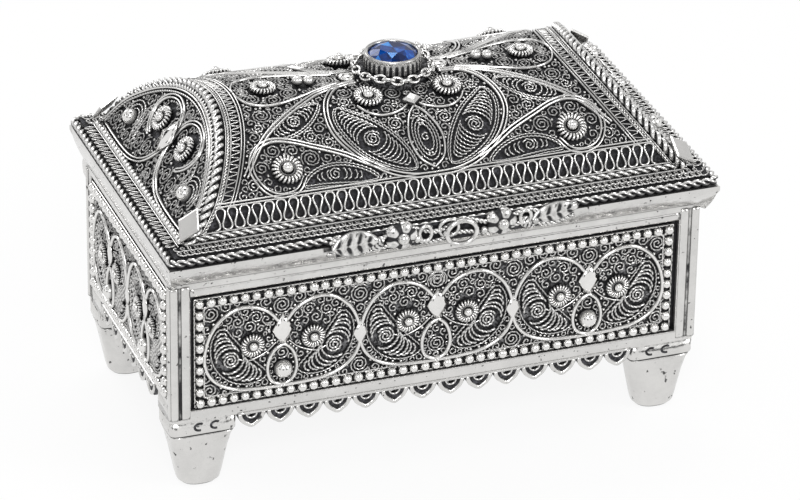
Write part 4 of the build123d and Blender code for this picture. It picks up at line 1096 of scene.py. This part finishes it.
# the thumb lift on the front edge: a ring between two flowers, a leaf and twigs beside them; places count from its middle
liftForm = {
    "y": -32.25, "z": 50.5,
    "leaves": [(-19.2, 0.1, 0.2, 9.2, 2.7, 0.05, 0.8), (20.4, 0.1, 0.4, 9.4, 2.1, 0.14, 0.7),
               (-14.8, 0.2, -0.7, 3.4, 1.3, 0.6, 0.5), (14.9, 0.2, -0.8, 3.6, 1.2, -0.5, 0.5)],
    "flowers": [(-10.0, 0.25, 0.3, 3.4), (9.8, 0.25, 0.1, 3.3)],
    "rings": [(1.8, -0.35, -0.6, 2.95, 2.4, 0.46), (-0.6, 0.2, 0.5, 1.9, 1.7, 0.34), (-5.3, 0.0, 0.2, 1.2, 1.5, 0.36),
              (14.6, 0.0, 0.5, 1.1, 1.3, 0.36)],
    "twigs": ((-24.5, 24.5, 0.5, -1.3), (-24.0, 25.0, 0.7, 0.9)),
    "twigRope": (0.28, 0.24, 1.9), "budRadius": 0.75,
    # a flat dark strip behind the lift: painted shade standing in for the black hollow behind its flowers and ring
    "backing": {"half": 22.5, "y": -31.25, "z": 50.1, "wire": (2.05, 0.16)},
    "buds": [(-6.9, 0.0, -0.6), (6.3, 0.0, -0.9), (-1.2, 0.0, -0.4), (16.6, 0.0, -0.6), (24.3, 0.1, 1.2)],
}


def leafPart(x0, y0, z0, length, width, angle, curl):
    # a pointed leaf: half width = width·sin(πt)^0.8, ribs as cos(9πt − |v|·3), rising in the middle by curl·(1 − v²)
    t, v = np.meshgrid(np.linspace(0, 1, 30), np.linspace(-1, 1, 13), indexing="ij")
    half = width * np.sin(np.pi * (0.03 + 0.94 * t)) ** 0.8
    rib = 0.14 * np.cos(2 * np.pi * 4.5 * t - np.abs(v) * 3.0) * (1 - v**2) + 0.1 * (np.abs(v) < 0.12)
    x, z, out = (t - 0.5) * length, v * half, curl * (1 - v**2) + rib
    c, s = math.cos(angle), math.sin(angle)
    front = stacked(x0 + x * c - z * s, y0 - out * 0.8, z0 + x * s + z * c)
    back = stacked(front[..., 0], y0 + 0.35, front[..., 2])
    return slabPart(front, back, np.concatenate([np.clip(0.35 + 3.0 * (rib + 0.08), 0, 1).ravel(), np.zeros(x.size)]))


def flowerPart(x0, y0, z0, radius, petals=5):
    # a bud seen from its tip: radius·(0.82 + 0.18·|cos(petals·b/2)|^0.6·sin a), a from the tip and b round it
    a, b = np.meshgrid(np.linspace(0.12, 1.9, 12), around(petals * 8), indexing="ij")
    lobe = np.abs(np.cos(petals * b / 2))
    r = radius * (0.82 + 0.18 * lobe**0.6 * np.sin(a))
    v = stacked(x0 + r * np.sin(a) * np.cos(b), y0 - 0.5 * r * np.cos(a) + 0.2, z0 + 0.86 * r * np.sin(a) * np.sin(b))
    crest = np.clip(1.5 * lobe - 0.35, 0, 1) * (0.35 + 0.65 * (a > 0.5))
    eye = repeated(ballShape(7, 12), [[x0, y0 - 0.38 * radius, z0]], frontward, radius * 0.34)
    return [(v.reshape(-1, 3), cappedFaces(12, petals * 8, True), crest.ravel()), eye]


def ringPart(x0, y0, z0, rx, rz, thick):
    # an upright ring: (rx·cos a, rz·sin a) round its middle
    a = around(36)
    line = stacked(x0 + rx * np.cos(a), y0, z0 + rz * np.sin(a))
    return tube(line, frontward, thick, thick, 8, closed=True)


f = liftForm
move = lambda place: (place[0], f["y"] + place[1], f["z"] + place[2], *place[3:])
lift = [leafPart(*move(leaf)) for leaf in f["leaves"]]
for flower in f["flowers"]:
    lift += flowerPart(*move(flower))
lift += [ringPart(*move(ring)) for ring in f["rings"]]
t = np.linspace(0, 1, 160)
for x0, x1, wave, dz in f["twigs"]:
    line = stacked(x0 + (x1 - x0) * t, f["y"] + 0.35 + 0.15 * np.sin(40 * t), f["z"] + dz + wave * np.sin(26 * t))
    lift += rope(line, frontward, *f["twigRope"])
lift.append(repeated(smallBall, [move(bud) for bud in f["buds"]], frontward, f["budRadius"]))
addPiece("thumbLift", lift, liftSilver, "lid", ["thumb_lift"])
# painted shade: a dark strip in the oxidised finish behind the lift, in place of the black shadow of the hollow behind
# it
f = liftForm["backing"]
backing = tube(stacked(np.linspace(-f["half"], f["half"], 120), f["y"], f["z"]), frontward, *f["wire"], 8)
addPiece("liftShadeStrip", [backing], oxideSilver, "lid")
print("setting and thumb lift ready")

# floor, world, lamps and camera
floorForm = {"radius": 3.0, "colour": "#F7F7F6", "ownLight": 0.9}
a = around(64)
floorMesh = bpy.data.meshes.new("floor")
disc = stacked(floorForm["radius"] * np.cos(a), floorForm["radius"] * np.sin(a), -0.00002)
floorMesh.from_pydata(disc.tolist(), [], [list(range(64))])
addObject("floor", floorMesh)


def seenPlainly(tree):
    # 1 for a ray that comes from the camera, from a mirror or through glass, else 0
    path = addNode(tree, "ShaderNodeLightPath").outputs
    seen = maths(tree, "MAXIMUM", {0: path["Is Camera Ray"], 1: path["Is Glossy Ray"]})
    return maths(tree, "MAXIMUM", {0: seen, 1: path["Is Transmission Ray"]})


# studio paper: seen, mirrored or looked through it is lit to white, and it keeps part of the object's shadow
sweep, tree = newMaterial("studioPaper")
share = maths(tree, "MULTIPLY", {0: seenPlainly(tree)}, {1: floorForm["ownLight"]})
rough = remap(tree, noise(tree, Scale=60.0, Detail=3.0), 0.0, 1.0, 0.85, 0.95)
matt = {"Base Color": toLinear(floorForm["colour"]), "Specular IOR Level": 0.1}
paper = addNode(tree, "ShaderNodeBsdfPrincipled", matt, {"Roughness": rough})
glow = addNode(tree, "ShaderNodeEmission", {"Color": (1, 1, 1, 1), "Strength": 1.0})
mix = addNode(tree, "ShaderNodeMixShader", {}, {0: share, 1: paper.outputs["BSDF"], 2: glow.outputs["Emission"]})
addNode(tree, "ShaderNodeOutputMaterial", {}, {"Surface": mix.outputs["Shader"]})
floorMesh.materials.append(sweep)

worldForm = {"light": 0.55, "seen": 1.0}
world = bpy.data.worlds.new("studio")
bpy.context.scene.world = world
world.use_nodes = True
tree = world.node_tree
tree.nodes.clear()
soft, white = (addNode(tree, "ShaderNodeBackground", {"Color": (1, 1, 1, 1), "Strength": worldForm[key]})
               for key in ("light", "seen"))
lit = {0: seenPlainly(tree), 1: soft.outputs["Background"], 2: white.outputs["Background"]}
mix = addNode(tree, "ShaderNodeMixShader", {}, lit)
addNode(tree, "ShaderNodeOutputWorld", {}, {"Surface": mix.outputs["Shader"]})

# soft boxes: name, place, size, power, all aimed at the middle of the box
lamps = [("keyBox", (-0.28, -0.8, 0.68), 0.36, 4.2), ("fillBox", (0.7, -0.6, 0.5), 0.36, 2.7),
         ("topBox", (0.1, 0.35, 0.9), 0.34, 1.6), ("backBox", (-0.3, 0.8, 0.45), 0.34, 1.5),
         ("sideBox", (-0.9, 0.1, 0.4), 0.34, 0.2)]
aim = Vector((0, 0, 0.035))
for name, spot, size, power in lamps:
    data = bpy.data.lights.new(name, "AREA")
    data.shape, data.size, data.energy = "SQUARE", size, power
    lamp = addObject(name, data)
    lamp.location = spot
    lamp.rotation_euler = (aim - Vector(spot)).to_track_quat("-Z", "Y").to_euler()

# dark cards round the set, seen only as reflections: silver needs them, or it mirrors white paper and looks like plaster
cardForm = {"azimuths": (-160, -112, -64, -20, 26, 70, 118, 164), "elevations": (14, 44), "distance": 1.25,
            "size": (0.19, 0.16), "top": ((0.12, -0.1, 1.25), (0.3, 0.24)), "colour": "#17171A"}
cloth, tree = newMaterial("darkCardCloth")
surfaceShader(tree, {"Base Color": toLinear(cardForm["colour"]), "Specular IOR Level": 0.0},
              {"Roughness": remap(tree, noise(tree, Scale=90.0), 0.0, 1.0, 0.9, 1.0)})
cards = [("darkCardTop", *cardForm["top"])]
for k, azimuth in enumerate(cardForm["azimuths"]):
    for m, elevation in enumerate(cardForm["elevations"]):
        turn, up = math.radians(azimuth + 22 * m), math.radians(elevation)
        way = np.array([math.sin(turn) * math.cos(up), -math.cos(turn) * math.cos(up), math.sin(up)])
        cards.append(("darkCard%d%d" % (k, m), cardForm["distance"] * way, cardForm["size"]))
for name, spot, size in cards:
    # a shallow trough turned to face the object: z = 0.08·u²
    facing = (aim - Vector(spot)).to_track_quat("Z", "Y").to_matrix()
    u, v = np.meshgrid(np.linspace(-1, 1, 9) * size[0], np.linspace(-1, 1, 5) * size[1], indexing="ij")
    flat = stacked(u, v, 0.08 * u**2).reshape(-1, 3) @ np.array(facing).T + np.array(spot)
    data = bpy.data.meshes.new(name)
    data.from_pydata(flat.tolist(), [], gridFaces(9, 5).tolist())
    data.materials.append(cloth)
    card = addObject(name, data)
    card.visible_camera = card.visible_diffuse = card.visible_shadow = False

# camera: fitted to the photograph by its edges
cameraForm = {"azimuth": -20.44, "elevation": 27.81, "roll": 0.9, "distance": 0.9007,
              "target": (-0.00101, -0.00728, 0.034), "lens": 211.5}
a, e, r = (math.radians(cameraForm[k]) for k in ("azimuth", "elevation", "roll"))
backward = Vector((math.sin(a) * math.cos(e), -math.cos(a) * math.cos(e), math.sin(e)))
rightward = Vector((math.cos(a), math.sin(a), 0))
upright = backward.cross(rightward)
axes = (rightward * math.cos(r) + upright * math.sin(r), -rightward * math.sin(r) + upright * math.cos(r), backward)
data = bpy.data.cameras.new("camera")
data.lens, data.sensor_width, data.clip_start, data.clip_end = cameraForm["lens"], 36.0, 0.05, 20.0
camera = addObject("camera", data)
place = Vector(cameraForm["target"]) + backward * cameraForm["distance"]
camera.matrix_world = Matrix.Translation(place) @ Matrix(axes).transposed().to_4x4()
bpy.context.scene.camera = camera
bpy.context.scene.view_settings.view_transform = "Standard"

bpy.context.view_layer.update()
print("stage ready")
